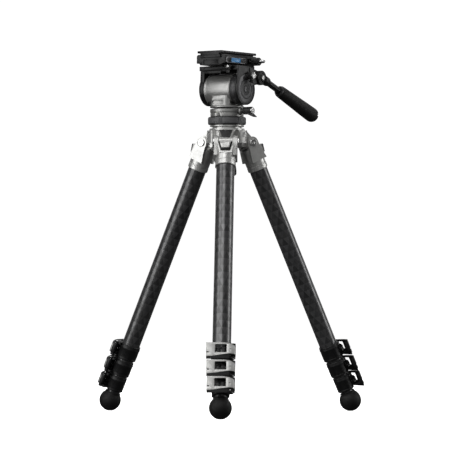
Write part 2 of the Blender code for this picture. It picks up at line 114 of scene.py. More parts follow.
def turned(profile, sides=96, ring=False):
    """A profile of (radius, height) spun about Z; a ring's last point meets its first."""
    shape = bmesh.new()
    rows = []
    for radius, height in profile:
        if radius == 0:
            rows.append([shape.verts.new((0.0, 0.0, height))])
            continue
        angles = [math.tau * step / sides for step in range(sides)]
        rows.append([shape.verts.new((radius * math.cos(a), radius * math.sin(a), height)) for a in angles])
    pairs = list(zip(rows, rows[1:]))
    if ring:
        pairs.append((rows[-1], rows[0]))
    for near, far in pairs:
        for step in range(sides):
            after = (step + 1) % sides
            corners = (near[step % len(near)], near[after % len(near)], far[after % len(far)],
                       far[step % len(far)])
            if len(set(corners)) > 2:
                shape.faces.new(dict.fromkeys(corners))
    return shape


def extruded(outline, low, high):
    """A flat outline of (x, y) pushed from low to high along Z."""
    shape = bmesh.new()
    face = shape.faces.new([shape.verts.new((x, y, low)) for x, y in outline])
    grown = bmesh.ops.extrude_face_region(shape, geom=[face])
    raised = [item for item in grown["geom"] if isinstance(item, bmesh.types.BMVert)]
    bmesh.ops.translate(shape, verts=raised, vec=(0.0, 0.0, high - low))
    return shape


def block(low, high):
    """A box between two corners."""
    outline = ((low[0], low[1]), (high[0], low[1]), (high[0], high[1]), (low[0], high[1]))
    return extruded(outline, low[2], high[2])


def rod(radius, low, high, sides=48):
    """A plain cylinder on Z."""
    return turned(((0, low), (radius, low), (radius, high), (0, high)), sides)


def shift(x, y, z):
    """A move along the three axes."""
    return Matrix.Translation((x, y, z))


def turn_z(degrees):
    """A turn about Z."""
    return Matrix.Rotation(math.radians(degrees), 4, "Z")


def moved(shape, matrix):
    """The shape, moved by a matrix in millimetres."""
    bmesh.ops.transform(shape, matrix=matrix, verts=shape.verts)
    return shape


def along_x(shape, y=0.0, z=0.0):
    """A shape built on Z, laid so that its Z runs to +X."""
    return moved(shape, shift(0.0, y, z) @ Matrix.Rotation(math.pi / 2, 4, "Y"))


def facing_out(shape, x=0.0, z=0.0):
    """A shape built on Z, laid so that its Z runs to -Y."""
    return moved(shape, shift(x, 0.0, z) @ Matrix.Rotation(math.pi / 2, 4, "X"))


def sideways(shape):
    """An outline drawn as (y, z), pushed along X."""
    return moved(shape, Matrix(((0, 0, 1, 0), (1, 0, 0, 0), (0, 1, 0, 0), (0, 0, 0, 1))))


def endways(shape):
    """An outline drawn as (x, z), pushed along Y."""
    return moved(shape, Matrix(((1, 0, 0, 0), (0, 0, 1, 0), (0, 1, 0, 0), (0, 0, 0, 1))))


def arc(centre, radius, start, end, steps=12):
    """Points on an arc, with its angles in degrees."""
    angles = [math.radians(start + (end - start) * step / steps) for step in range(steps + 1)]
    return [(centre[0] + radius * math.cos(a), centre[1] + radius * math.sin(a)) for a in angles]


def rounded(low, high, radius, steps=6):
    """The outline of a rectangle with round corners."""
    (left, bottom), (right, top) = low, high
    corners = ((right - radius, bottom + radius, -90), (right - radius, top - radius, 0),
               (left + radius, top - radius, 90), (left + radius, bottom + radius, 180))
    return [point for x, y, turn in corners for point in arc((x, y), radius, turn, turn + 90, steps)]


def spread_out(count, start=0.0):
    """Turns about Z that place count copies evenly round a circle."""
    return [Matrix.Rotation(start + math.tau * step / count, 4, "Z") for step in range(count)]


def raw_object(name, shape):
    """An object in metres from a shape in millimetres."""
    bmesh.ops.recalc_face_normals(shape, faces=shape.faces)
    bmesh.ops.scale(shape, vec=(MM, MM, MM), verts=shape.verts)
    mesh = bpy.data.meshes.new(name)
    shape.to_mesh(mesh)
    shape.free()
    piece = bpy.data.objects.new(name, mesh)
    bpy.context.scene.collection.objects.link(piece)
    return piece


def apply_modifiers(piece):
    """Keeps the mesh that the piece's modifiers make, and drops the modifiers."""
    graph = bpy.context.evaluated_depsgraph_get()
    final = bpy.data.meshes.new_from_object(piece.evaluated_get(graph))
    piece.modifiers.clear()
    piece.data = final


def make(name, shape, at, body, look, edge=0.0, add=(), take=(), stands_for=(), own_axes=False):
    """One finished piece: shapes are joined or cut, edges softened, and it rides on its body.

    A piece with its own axes keeps the frame it was drawn in, for a finish that runs along it.
    """
    piece = raw_object(name, shape)
    helpers = []
    for operation, shapes in (("UNION", add), ("DIFFERENCE", take)):
        for other in shapes:
            helper = raw_object(f"{name}_tool", other)
            helpers.append(helper)
            modifier = piece.modifiers.new(operation, "BOOLEAN")
            modifier.operation = operation
            modifier.object = helper
    if edge:
        bevel = piece.modifiers.new("Soft edges", "BEVEL")
        bevel.width = edge * MM
        bevel.segments = 2
        bevel.limit_method = "ANGLE"
        bevel.angle_limit = math.radians(BEVEL_ANGLE)
    if piece.modifiers:
        apply_modifiers(piece)
    for helper in helpers:
        bpy.data.objects.remove(helper, do_unlink=True)
    piece.data.name = name
    piece.data.shade_smooth()
    piece.data.set_sharp_from_angle(angle=math.radians(SHARP_ANGLE))
    piece.data.materials.clear()
    piece.data.materials.append(finish(look))
    if own_axes:
        piece.matrix_world = at
    else:
        piece.data.transform(at.to_3x3().to_4x4())
        piece.location = at.translation
    bpy.context.view_layer.update()
    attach(piece, body)
    if stands_for:
        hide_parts(*stands_for)
    return piece


# ---------------------------------------------------------------- what a user may change

class TripodFinish(bpy.types.PropertyGroup):
    """Colours and finishes of the tripod."""
    alloy: FloatVectorProperty(name="Alloy", description="Castings and lever faces", subtype="COLOR",
                               size=3, min=0.0, max=1.0, default=(0.42, 0.42, 0.41))
    black: FloatVectorProperty(name="Black", description="Anodised and moulded black parts", subtype="COLOR",
                               size=3, min=0.0, max=1.0, default=(0.0045, 0.0045, 0.0048))
    dial: FloatVectorProperty(name="Dial grey", description="Dial ring and grip collar", subtype="COLOR",
                              size=3, min=0.0, max=1.0, default=(0.026, 0.026, 0.0272))
    button: FloatVectorProperty(name="Button", description="Plate release button", subtype="COLOR",
                                size=3, min=0.0, max=1.0, default=(0.010, 0.17, 0.40))
    carbon: FloatVectorProperty(name="Carbon", description="Lighter facets of the tubes", subtype="COLOR",
                                size=3, min=0.0, max=1.0, default=(0.034, 0.034, 0.035))
    facet_height: FloatProperty(name="Facet height", description="Length of one facet along a tube",
                                unit="LENGTH", default=0.023, min=0.005, max=0.08)


class TripodStage(bpy.types.PropertyGroup):
    """Floor, lamps and camera round the tripod."""
    camera_distance: FloatProperty(name="Camera distance", description="From the stand's axis",
                                   unit="LENGTH", default=5.02, min=1.0, max=20.0)
    camera_height: FloatProperty(name="Camera height", description="Above the floor",
                                 unit="LENGTH", default=0.203, min=0.05, max=3.0)
    camera_turn: FloatProperty(name="Camera turn", description="Round the stand from its front leg",
                               subtype="ANGLE", default=math.radians(2.54))
    camera_pitch: FloatProperty(name="Camera pitch", description="Upward tilt of the view",
                                subtype="ANGLE", default=math.radians(0.968))
    camera_pan: FloatProperty(name="Camera pan", description="Turn of the view away from the axis",
                              subtype="ANGLE", default=math.radians(0.054))
    lens: FloatProperty(name="Lens", description="Focal length in millimetres", default=250.2, min=20.0,
                        max=800.0)


# ---------------------------------------------------------------- materials

class Nodes:
    """Adds shader nodes to one material and joins them."""

    def __init__(self, name):
        self.material = bpy.data.materials.new(name)
        self.material.use_nodes = True
        self.tree = self.material.node_tree
        self.shader = self.tree.nodes["Principled BSDF"]

    def add(self, kind, inputs=None, **settings):
        """A node with its settings, whose inputs are numbers or other nodes' outputs."""
        node = self.tree.nodes.new(kind)
        for name, value in settings.items():
            setattr(node, name, value)
        for name, value in (inputs or {}).items():
            self.feed(node, name, value)
        return node

    def feed(self, node, name, value):
        """Sets or links one input."""
        if isinstance(value, bpy.types.NodeSocket):
            self.tree.links.new(value, node.inputs[name])
        else:
            node.inputs[name].default_value = value

    def maths(self, operation, *values):
        """The output of one Math node."""
        node = self.add("ShaderNodeMath", operation=operation)
        for place, value in enumerate(values):
            self.feed(node, place, value)
        return node.outputs[0]

    def set(self, **values):
        """Sets the Principled shader's own sockets."""
        for name, value in values.items():
            self.feed(self.shader, name.replace("_", " "), value)

    def place(self):
        """Coordinates that ride with the piece."""
        return self.add("ShaderNodeTexCoord").outputs["Object"]

    def noise(self, scale, detail=3.0, roughness=0.55, vector=None):
        """The value of a noise texture."""
        inputs = {"Vector": vector or self.place(), "Scale": scale, "Detail": detail, "Roughness": roughness}
        return self.add("ShaderNodeTexNoise", inputs).outputs["Fac"]

    def spread(self, value, low, high, start=0.3, end=0.7):
        """Stretches a value from start..end to low..high."""
        inputs = {"Value": value, "From Min": start, "From Max": end, "To Min": low, "To Max": high}
        return self.add("ShaderNodeMapRange", inputs).outputs["Result"]

    def mix(self, share, first, second):
        """A mix of two colours."""
        node = self.add("ShaderNodeMix", data_type="RGBA")
        self.feed(node, 0, share)
        self.feed(node, 6, first)
        self.feed(node, 7, second)
        return node.outputs[2]

    def bump(self, height, strength, distance=0.0002, under=None):
        """A normal from a height."""
        inputs = {"Height": height, "Strength": strength, "Distance": distance}
        if under:
            inputs["Normal"] = under
        return self.add("ShaderNodeBump", inputs).outputs["Normal"]


def tinted(colour, factor):
    """A colour made lighter or darker, with its alpha."""
    return tuple(min(1.0, channel * factor) for channel in colour) + (1.0,)


def finish_settings():
    """The colours in the sidebar."""
    return bpy.context.scene.tripod_finish


def worn_surface(name, setting, lightness, rough, metallic, grain, depth, wear, mottle):
    """A cast, moulded or anodised surface: fine grain, cloudy tone, uneven gloss and rubbed edges."""
    nodes = Nodes(name)
    colour = tuple(channel * lightness for channel in getattr(finish_settings(), setting))
    clouds = nodes.noise(38.0, 4.0)
    tone = nodes.mix(nodes.spread(clouds, 0.0, 1.0), tinted(colour, 1.0 - mottle),
                     tinted(colour, 1.0 + mottle))
    edge = nodes.add("ShaderNodeNewGeometry").outputs["Pointiness"]
    scuffs = nodes.noise(420.0, 5.0, 0.7)
    rubbed = nodes.maths("MULTIPLY", nodes.spread(edge, 0.0, 1.0, 0.52, 0.60), nodes.spread(scuffs, 0.0, 1.0))
    share = nodes.maths("MULTIPLY", rubbed, wear)
    worn = tinted(tuple(channel + 0.05 for channel in colour), 1.25)
    nodes.set(Base_Color=nodes.mix(share, tone, worn), Metallic=metallic)
    patches = nodes.noise(95.0, 4.0, 0.65)
    nodes.set(Roughness=nodes.spread(patches, rough - 0.06, rough + 0.07))
    nodes.set(Normal=nodes.bump(nodes.noise(grain, 2.0), depth))
    if setting == "black":
        nodes.set(Specular_IOR_Level=0.25)
    return nodes.material


def label_silver(name):
    """Blank label plate, brushed along its length."""
    nodes = Nodes(name)
    squeeze = nodes.add("ShaderNodeMapping", {"Vector": nodes.place(), "Scale": (0.05, 1.0, 1.0)})
    hairs = nodes.noise(2600.0, 3.0, 0.6, squeeze.outputs["Vector"])
    light, dark = tinted(finish_settings().alloy, 0.80), tinted(finish_settings().alloy, 0.77)
    nodes.set(Base_Color=nodes.mix(nodes.spread(hairs, 0.0, 1.0), dark, light), Metallic=0.8)
    nodes.set(Roughness=nodes.spread(hairs, 0.40, 0.44), Normal=nodes.bump(hairs, 0.02))
    return nodes.material


def bright_steel(name):
    """Turned bright steel with fine rings and handling marks."""
    nodes = Nodes(name)
    marks = nodes.noise(700.0, 4.0, 0.7)
    nodes.set(Base_Color=nodes.mix(nodes.spread(marks, 0.0, 1.0), (0.62, 0.62, 0.62, 1),
                                   (0.80, 0.80, 0.79, 1)))
    nodes.set(Metallic=1.0, Roughness=nodes.spread(nodes.noise(240.0), 0.12, 0.24))
    nodes.set(Normal=nodes.bump(nodes.noise(3000.0), 0.08))
    return nodes.material


def black_rubber(name):
    """Matt black rubber with a dusty bloom."""
    nodes = Nodes(name)
    dust = nodes.spread(nodes.noise(60.0, 5.0, 0.6), 0.0, 1.0, 0.45, 0.75)
    nodes.set(Base_Color=nodes.mix(dust, (0.0045, 0.0045, 0.0045, 1), (0.010, 0.010, 0.0098, 1)))
    nodes.set(Roughness=nodes.spread(nodes.noise(150.0), 0.52, 0.68), Metallic=0.0)
    nodes.set(Normal=nodes.bump(nodes.noise(2400.0, 3.0), 0.5), Specular_IOR_Level=0.2)
    return nodes.material


def blue_plastic(name):
    """Blue button, lightly speckled."""
    nodes = Nodes(name)
    speck = nodes.spread(nodes.noise(900.0, 3.0), 0.0, 1.0)
    colour = finish_settings().button
    nodes.set(Base_Color=nodes.mix(speck, tinted(colour, 0.9), tinted(colour, 1.15)), Metallic=0.0)
    nodes.set(Roughness=nodes.spread(nodes.noise(200.0), 0.28, 0.40))
    nodes.set(Normal=nodes.bump(nodes.noise(2500.0), 0.15))
    return nodes.material


def spirit_level(name):
    """Clear dome over pale green liquid."""
    nodes = Nodes(name)
    tone = nodes.spread(nodes.noise(300.0), 0.0, 1.0)
    nodes.set(Base_Color=nodes.mix(tone, (0.62, 0.68, 0.52, 1), (0.75, 0.78, 0.66, 1)), Metallic=0.0)
    nodes.set(Roughness=0.08, Coat_Weight=1.0, Coat_Roughness=0.03)
    return nodes.material


def carbon_tube(name, radius):
    """Clear coated tube with rows of triangular facets that catch the light differently."""
    nodes = Nodes(name)
    height = finish_settings().facet_height
    columns = round(math.tau * radius * MM / (height * 0.5))
    axes = nodes.add("ShaderNodeSeparateXYZ", {"Vector": nodes.place()}).outputs
    around = nodes.maths("MULTIPLY", nodes.maths("ARCTAN2", axes["Y"], axes["X"]), columns / math.tau)
    along = nodes.maths("DIVIDE", axes["Z"], height)
    rising = nodes.maths("ADD", around, along)
    falling = nodes.maths("SUBTRACT", around, along)
    upper = nodes.maths("GREATER_THAN", nodes.maths("FRACT", rising), nodes.maths("FRACT", falling))
    cell = nodes.add("ShaderNodeCombineXYZ", {"X": nodes.maths("FLOOR", rising),
                                              "Y": nodes.maths("FLOOR", falling), "Z": upper})
    chance = nodes.add("ShaderNodeTexWhiteNoise", {"Vector": cell.outputs[0]}).outputs["Value"]
    tone = nodes.maths("ADD", nodes.maths("MULTIPLY", upper, -0.55), nodes.maths("MULTIPLY", chance, 0.45))
    share = nodes.spread(tone, 0.0, 1.0, -0.55, 0.45)
    colour = finish_settings().carbon
    nodes.set(Base_Color=nodes.mix(share, tinted(colour, 0.28), tinted(colour, 1.7)), Metallic=0.35)
    cloud = nodes.spread(nodes.noise(160.0, 4.0), -0.03, 0.03)
    nodes.set(Roughness=nodes.maths("ADD", nodes.spread(share, 0.46, 0.30, 0.0, 1.0), cloud))
    fibres = nodes.add("ShaderNodeMapping", {"Vector": nodes.place(), "Scale": (1.0, 1.0, 0.15)})
    nodes.set(Normal=nodes.bump(nodes.noise(2400.0, 2.0, 0.5, fibres.outputs["Vector"]), 0.12))
    nodes.set(Coat_Weight=0.55, Coat_Roughness=0.16)
    return nodes.material


# Look: material, user's colour, lightness, roughness, metallic, grain, grain depth, wear, mottle, slot
WORN_LOOKS = {
    "alloy": ("Titanium grey casting", "alloy", 1.0, 0.36, 0.72, 2600.0, 0.35, 0.35, 0.07,
              "titanium_grey_alloy"),
    "head alloy": ("Head casting", "alloy", 0.52, 0.36, 0.72, 2600.0, 0.35, 0.35, 0.07,
                   "titanium_grey_alloy"),
    "lever face": ("Satin lever face", "alloy", 0.92, 0.42, 0.55, 3200.0, 0.25, 0.5, 0.06,
                   "titanium_grey_alloy"),
    "anodised": ("Black anodised alloy", "black", 1.0, 0.34, 0.35, 2200.0, 0.20, 0.25, 0.16,
                 "black_anodised"),
    "moulding": ("Black moulding", "black", 1.0, 0.42, 0.0, 1700.0, 0.45, 0.10, 0.16, "black_plastic"),
    "dial": ("Dark grey anodised", "dial", 1.0, 0.40, 0.45, 2100.0, 0.25, 0.30, 0.16, "grey_plastic"),
    "pad": ("Grey grip pad", "dial", 2.1, 0.58, 0.0, 1500.0, 0.6, 0.05, 0.16, "grey_plastic"),
    "cap": ("Grey end cap", "dial", 1.7, 0.38, 0.5, 2300.0, 0.2, 0.3, 0.16, "black_anodised"),
    "rim": ("Window rim", "dial", 5.0, 0.24, 0.8, 2600.0, 0.1, 0.3, 0.16, "black_anodised"),
}
# Look: material, the function that builds it, its other settings, slot
LOOKS = {
    "label": ("Blank label plate", label_silver, (), "titanium_grey_alloy"),
    "steel": ("Bright turned steel", bright_steel, (), "bright_steel"),
    "rubber": ("Black rubber", black_rubber, (), "black_rubber"),
    "button": ("Blue button", blue_plastic, (), "blue_plastic"),
    "level": ("Spirit level dome", spirit_level, (), "titanium_grey_alloy"),
}
for look, row in WORN_LOOKS.items():
    LOOKS[look] = (row[0], worn_surface, row[1:-1], row[-1])
for radius in TUBE_RADII:
    LOOKS[f"tube {radius}"] = (f"Carbon facets {radius:.1f}", carbon_tube, (radius,), "carbon_tube")


def finish(look):
    """The material of a look, built the first time it is asked for."""
    name, build, settings, _ = LOOKS[look]
    return bpy.data.materials.get(name) or build(name, *settings)


# ---------------------------------------------------------------- stage

# Name, place, width and height in metres, watts
LAMPS = (
    ("Left softbox", (-1.7, -1.1, 0.9), (1.5, 2.2), 38.0),
    ("Right softbox", (1.9, 0.3, 0.8), (0.7, 2.2), 20.0),
    ("Front fill", (0.4, -4.0, 1.4), (6.0, 3.4), 46.0),
    ("High front softbox", (-0.6, -1.9, 2.5), (1.5, 1.2), 25.0),
    ("Top softbox", (0.0, 0.5, 2.4), (2.4, 1.6), 22.0),
    ("Rear fill", (0.0, 3.0, 1.2), (5.0, 2.0), 24.0),
)
FLOOR_GLOW = 0.97
ROOM_LIGHT = 0.08


def aim(thing, target):
    """Turns a lamp or camera to look at a point."""
    thing.rotation_euler = (Vector(target) - thing.location).to_track_quat("-Z", "Y").to_euler()


def lamp(name, place, target, size, watts):
    """A rectangular soft lamp."""
    data = bpy.data.lights.new(name, "AREA")
    data.shape = "RECTANGLE"
    data.size, data.size_y = size
    data.energy = watts
    thing = bpy.data.objects.new(name, data)
    bpy.context.scene.collection.objects.link(thing)
    thing.location = place
    aim(thing, target)
    return thing


class TRIPOD_OT_stage(bpy.types.Operator):
    """Set up the floor, the lamps and the camera"""
    bl_idname = "tripod.stage"
    bl_label = "Stage"

    def execute(self, context):
        stage = context.scene.tripod_stage
        axis = stand_frame().translation
        self.place_camera(context, stage, axis)
        self.lay_floor()
        self.hang_lamps(axis)
        context.scene.view_settings.view_transform = "Standard"
        return {"FINISHED"}

    @staticmethod
    def place_camera(context, stage, axis):
        data = bpy.data.cameras.new("Front camera")
        data.lens = stage.lens
        data.clip_end = 100.0
        camera = bpy.data.objects.new("Front camera", data)
        context.scene.collection.objects.link(camera)
        across = stage.camera_distance
        camera.location = (axis.x + across * math.sin(stage.camera_turn),
                           axis.y - across * math.cos(stage.camera_turn), stage.camera_height)
        camera.rotation_euler = (math.pi / 2 + stage.camera_pitch, 0.0, stage.camera_turn - stage.camera_pan)
        context.scene.camera = camera

    @staticmethod
    def lay_floor():
        """A round pale floor that sweeps up all round, and is clear from below and from outside."""
        reach, sweep, rise, sides = 14.0, 3.0, 12.0, 64
        profile = [(reach + sweep * math.sin(a), sweep - sweep * math.cos(a))
                   for a in (math.radians(step) for step in range(0, 91, 10))]
        profile += [(profile[-1][0], rise)]
        turns = [math.tau * side / sides for side in range(sides)]
        shape = bmesh.new()
        rows = [[shape.verts.new((away * math.cos(a), away * math.sin(a), z)) for a in turns] for away,
                z in profile]
        shape.faces.new(rows[0])
        for near, far in zip(rows, rows[1:]):
            for side in range(sides):
                after = (side + 1) % sides
                shape.faces.new((near[side], far[side], far[after], near[after]))
        mesh = bpy.data.meshes.new("Studio floor")
        shape.to_mesh(mesh)
        shape.free()
        mesh.shade_smooth()
        floor = bpy.data.objects.new("Studio floor", mesh)
        bpy.context.scene.collection.objects.link(floor)
        nodes = Nodes("Pale floor")
        cloud = nodes.spread(nodes.noise(0.8), 0.0, 1.0)
        nodes.set(Base_Color=nodes.mix(cloud, (0.93, 0.93, 0.93, 1), (0.95, 0.95, 0.95, 1)), Roughness=0.8)
        nodes.set(Emission_Color=(1.0, 1.0, 1.0, 1.0), Emission_Strength=FLOOR_GLOW)
        under = nodes.add("ShaderNodeNewGeometry").outputs["Backfacing"]
        clear = nodes.add("ShaderNodeBsdfTransparent").outputs[0]
        seen = nodes.add("ShaderNodeMixShader", {0: under, 1: nodes.shader.outputs[0], 2: clear}).outputs[0]
        nodes.feed(nodes.tree.nodes["Material Output"], "Surface", seen)
        mesh.materials.append(nodes.material)
        floor.visible_diffuse = False
        floor.visible_glossy = False

    @staticmethod
    def hang_lamps(axis):
        """The soft lamps, and a dim room that looks white itself."""
        middle = (axis.x, axis.y, 0.30)
        for name, place, size, watts in LAMPS:
            lamp(name, place, middle, size, watts)
        world = bpy.data.worlds.new("Pale room")
        world.use_nodes = True
        tree = world.node_tree
        background = tree.nodes["Background"]
        background.inputs["Color"].default_value = (1.0, 1.0, 1.0, 1.0)
        strength = tree.nodes.new("ShaderNodeMapRange")
        strength.inputs["To Min"].default_value = ROOM_LIGHT
        strength.inputs["To Max"].default_value = 1.0
        tree.links.new(tree.nodes.new("ShaderNodeLightPath").outputs["Is Camera Ray"],
                       strength.inputs["Value"])
        tree.links.new(strength.outputs["Result"], background.inputs["Strength"])
        bpy.context.scene.world = world


# ---------------------------------------------------------------- legs

class TRIPOD_OT_forks(bpy.types.Operator):
    """Build the forks, their bolts and the spread catches"""
    bl_idname = "tripod.forks"
    bl_label = "Forks and catches"

    def execute(self, context):
        for number in LEGS:
            at = leg_frame(number)
            self.fork(number, at)
            self.bolt(number, at)
            self.catch(number, at)
        return {"FINISHED"}

    @staticmethod
    def fork(number, at):
        sleeve = turned([(0, -8.6), (15.2, -8.6), (16, -9.4), (16, -36.2), (15.6, -36.8), (15.6, -37.6),
                         (16.2, -38.2),
                         (16.2, -44.4), (15.6, -45), (0, -45)])
        cheek_edge = [(-13.5, -30), (-11.5, -20), (-9.5, -8)] + arc((0, 0), 9.5, 180, 0, 18) + \
            [(9.5, -8), (11.5, -20), (13.5, -30)]
        cheeks = [sideways(extruded(cheek_edge, *sorted((side * 11.8, side * 18)))) for side in (-1, 1)]
        saddle = endways(extruded([(-12.6, -8.7), (12.6, -8.7), (9.6, -27), (-9.6, -27)], -16.1, -9))
        bore = rod(14.5, -47, -11.7, 72)
        tunnel = along_x(rod(3.5, -30, 30))
        rebates = [along_x(rod(7.0, *sorted((side * 17.4, side * 19)))) for side in (-1, 1)]
        make(f"leg_{number}_fork", sleeve, at, f"leg_{number}_top", "alloy", 0.45,
             add=cheeks + [saddle], take=[bore, tunnel] + rebates, stands_for=(f"leg_{number}_yoke",))

    @staticmethod
    def bolt(number, at):
        half = [(3.2, 17.5), (5.9, 17.5), (5.9, 19.6), (5.3, 20.2), (3.0, 20.4)]
        profile = [(0, -20.4)] + [(r, -z) for r, z in reversed(half)] + half + [(0, 20.4)]
        sockets = [along_x(rod(2.7, *sorted((side * 18.6, side * 22)), 6)) for side in (-1, 1)]
        make(f"leg_{number}_hinge_bolt", along_x(turned(profile, 64)), at, "stand", "steel", 0.15,
             take=sockets, stands_for=(f"leg_{number}_pivot_bolt",))

    @staticmethod
    def catch(number, at):
        outline = [(-11.5, -9.4), (-7.6, -22.2), (-6.6, -23.2), (6.6, -23.2), (7.6, -22.2), (11.5, -9.4)]
        inner = [(-8.7, -9.9), (-6.0, -19.4), (-5.2, -20.2), (5.2, -20.2), (6.0, -19.4), (8.7, -9.9)]
        ribs = [block((-5 + rise, -21.0, -12.2 - 3.0 * step), (5 - rise, -19.75, -11.4 - 3.0 * step))
                for step, rise in enumerate((0.0, 0.6, 1.2))]
        make(f"leg_{number}_catch", endways(extruded(outline, -19.4, -16.3)), at, f"leg_{number}_catch",
             "anodised", 0.5, stands_for=(f"leg_{number}_angle_catch",))
        make(f"leg_{number}_catch_face", endways(extruded(inner, -20.0, -19.3)), at, f"leg_{number}_catch",
             "alloy", 0.25, take=ribs)


class TRIPOD_OT_tubes(bpy.types.Operator):
    """Build the carbon tubes of the legs"""
    bl_idname = "tripod.tubes"
    bl_label = "Tubes"

    def execute(self, context):
        wall, rows = 1.2, 24
        for number in LEGS:
            for step, radius in enumerate(TUBE_RADII):
                top, end = -TUBE_TOPS[step], -TUBE_ENDS[step]
                outside = [(radius, top + (end - top) * row / rows) for row in range(rows + 1)]
                inside = [(radius - wall, z) for _, z in reversed(outside)]
                make(f"leg_{number}_carbon_{step + 1}", turned(outside + inside, 72, ring=True),
                     leg_frame(number),
                     f"leg_{number}_{TUBE_BODIES[step]}", f"tube {radius}", own_axes=True,
                     stands_for=(f"leg_{number}_tube_{step + 1}",))
        return {"FINISHED"}


class TRIPOD_OT_clamps(bpy.types.Operator):
    """Build the clamp collars with their lugs and hinge ears"""
    bl_idname = "tripod.clamps"
    bl_label = "Clamps"

    def execute(self, context):
        for number in LEGS:
            for step in range(3):
                at = leg_frame(number) @ shift(0, 0, -CLAMP_CENTRES[step] * MM)
                self.collar(f"leg_{number}_collar_{step + 1}", at, f"leg_{number}_{TUBE_BODIES[step]}", step,
                            CLAMP_CENTRES[step] - TUBE_ENDS[step], f"leg_{number}_clamp_{step + 1}")
        return {"FINISHED"}

    @staticmethod
    def collar(name, at, body, step, seat, node):
        radius = CLAMP_RADII[step]
        bead = radius + 0.35
        profile = [(0, -12.3), (radius - 1.0, -12.3), (radius - 0.2, -11.6), (radius - 0.2, -9.2),
                   (radius - 0.6, -8.8),
                   (radius - 0.6, -8.2), (radius, -7.8), (radius, 5.6), (bead, 6.2), (bead, 7.6),
                   (radius, 8.2),
                   (radius, 11.4), (radius - 0.9, 12.3), (0, 12.3)]
        lug = sideways(extruded([(-9, -8.6), (-20.4, -8.6), (-20.4, 1.0)] + arc((-14.4, 1.0), 6.0, 180, 90, 8)
                                + [(-9, 7.0)], -6.4, 6.4))
        ears = [block((6, -18.2, low), (19, -8, low + 3.0)) for low in (-12.0, 9.0)]
        ears += [moved(rod(3.2, low, low + 3.0), shift(18.8, -15.0, 0)) for low in (-12.0, 9.0)]
        split = block((-0.7, -21, -14), (0.7, -13.5, 14))
        bolt_hole = facing_out(rod(1.9, 18.2, 22), z=1.8)
        bore = turned([(0, -14), (TUBE_RADII[step + 1] + 0.25, -14),
                       (TUBE_RADII[step + 1] + 0.25, seat - 0.2),
                       (TUBE_RADII[step] + 0.25, seat - 0.2), (TUBE_RADII[step] + 0.25, 14), (0, 14)], 72)
        make(name, turned(profile, 72), at, body, "moulding", 0.3, add=[lug] + ears,
             take=[bore, split, bolt_hole], stands_for=(node,))
        pin = turned([(0, -12.6), (1.3, -12.6), (1.5, -12.3), (1.5, 12.3), (1.3, 12.6), (0, 12.6)], 32)
        make(f"{name}_pin", moved(pin, Matrix.Translation(LEVER_PIN)), at, body, "steel")
        side_bolt = along_x(turned([(0, -7.6), (2.4, -7.6), (2.6, -7.3), (2.6, -6.2), (1.6, -6.2), (1.6, 6.2),
                                    (2.6, 6.2), (2.6, 7.3), (2.4, 7.6), (0, 7.6)], 40), y=-17.0, z=-3.6)
        make(f"{name}_bolt", side_bolt, at, body, "steel",
             take=[along_x(rod(1.2, -9, -7.0, 6), y=-17.0, z=-3.6)])


class TRIPOD_OT_levers(bpy.types.Operator):
    """Build the flip levers with their satin faces"""
    bl_idname = "tripod.levers"
    bl_label = "Levers"

    def execute(self, context):
        for number in LEGS:
            for step in range(3):
                at = leg_frame(number) @ shift(0, 0, -CLAMP_CENTRES[step] * MM)
                self.lever(number, step + 1, at, 0.9 * step)
        return {"FINISHED"}

    @staticmethod
    def lever(number, step, at, inset):
        """A black body with a D-shaped side, hinged at the right, and a satin face with a window."""
        left = -22.5 + inset
        side = [(-21.2, -14.6), (-22.6, -14.9), (-23.2, -13.6), (-23.4, -6.0), (-23.5, 0), (-23.4, 7.0),
                (-23.0, 10.2), (-22.2, 11.4), (-21.2, 10.6)]
        body = sideways(extruded(side, left + 0.35, 12.8))
        web = extruded([(left + 0.6, -21.6), (left + 0.6, -18.6), (left + 2.8, -18.6), (left + 4.4, -21.6)],
                       -7.6, 7.6)
        arm = [(12.2, -21.3), (12.2, -23.3), (17, -23.0), (20.4, -21.4), (22.2, -18.0)]
        arm += arc(LEVER_PIN[:2], 3.4, 0, 180, 14) + [(15.4, -19)]
        hinge_arm = extruded(arm, -8.3, 8.3)
        heel = extruded([(8.5, -18.9), (8.5, -22.0), (15.2, -22.0), (15.2, -18.4)], -8.3, 8.3)
        window = block((-8.6, -30, -5.0), (8.6, -15, 8.0))
        make(f"leg_{number}_lever_body_{step}", body, at, f"leg_{number}_lever_{step}", "moulding", 0.4,
             add=[web, hinge_arm, heel], take=[window, moved(rod(1.7, -20, 20),
                                                             Matrix.Translation(LEVER_PIN))],
             stands_for=(f"leg_{number}_lever_{step}",))
        plan = [(left, -24.2), (left + 0.5, -24.3), (15.6, -24.3), (20.2, -21.9), (22.1, -18.2),
                (21.2, -18.0),
                (19.5, -21.1), (15.2, -23.2), (left, -23.2)]
        above = [(-17, 11.3), (6, 10.8), (13.5, 9.4), (20.6, 6.4), (24, 3.6), (24, 14), (-17, 14)]
        below = [(-25, -11.5), (-10, -10.4), (2, -8.3), (12, -7.0), (24, -6.8), (24, -14), (-25, -14)]
        trims = [endways(extruded(outline, -30, -15)) for outline in (above, below)]
        notch = block((left - 1, -30, -5.6), (left + 4.2, -20, -3.6))
        hole = facing_out(rod(0.9, 20, 30), x=14.4, z=0.4)
        window = endways(extruded(rounded((-8.8, -5.2), (8.8, 8.2), 1.0), -30, -15))
        make(f"leg_{number}_lever_face_{step}", extruded(plan, -11.4, 11.2), at, f"leg_{number}_lever_{step}",
             "lever face", 0.35, take=trims + [window, notch, hole])


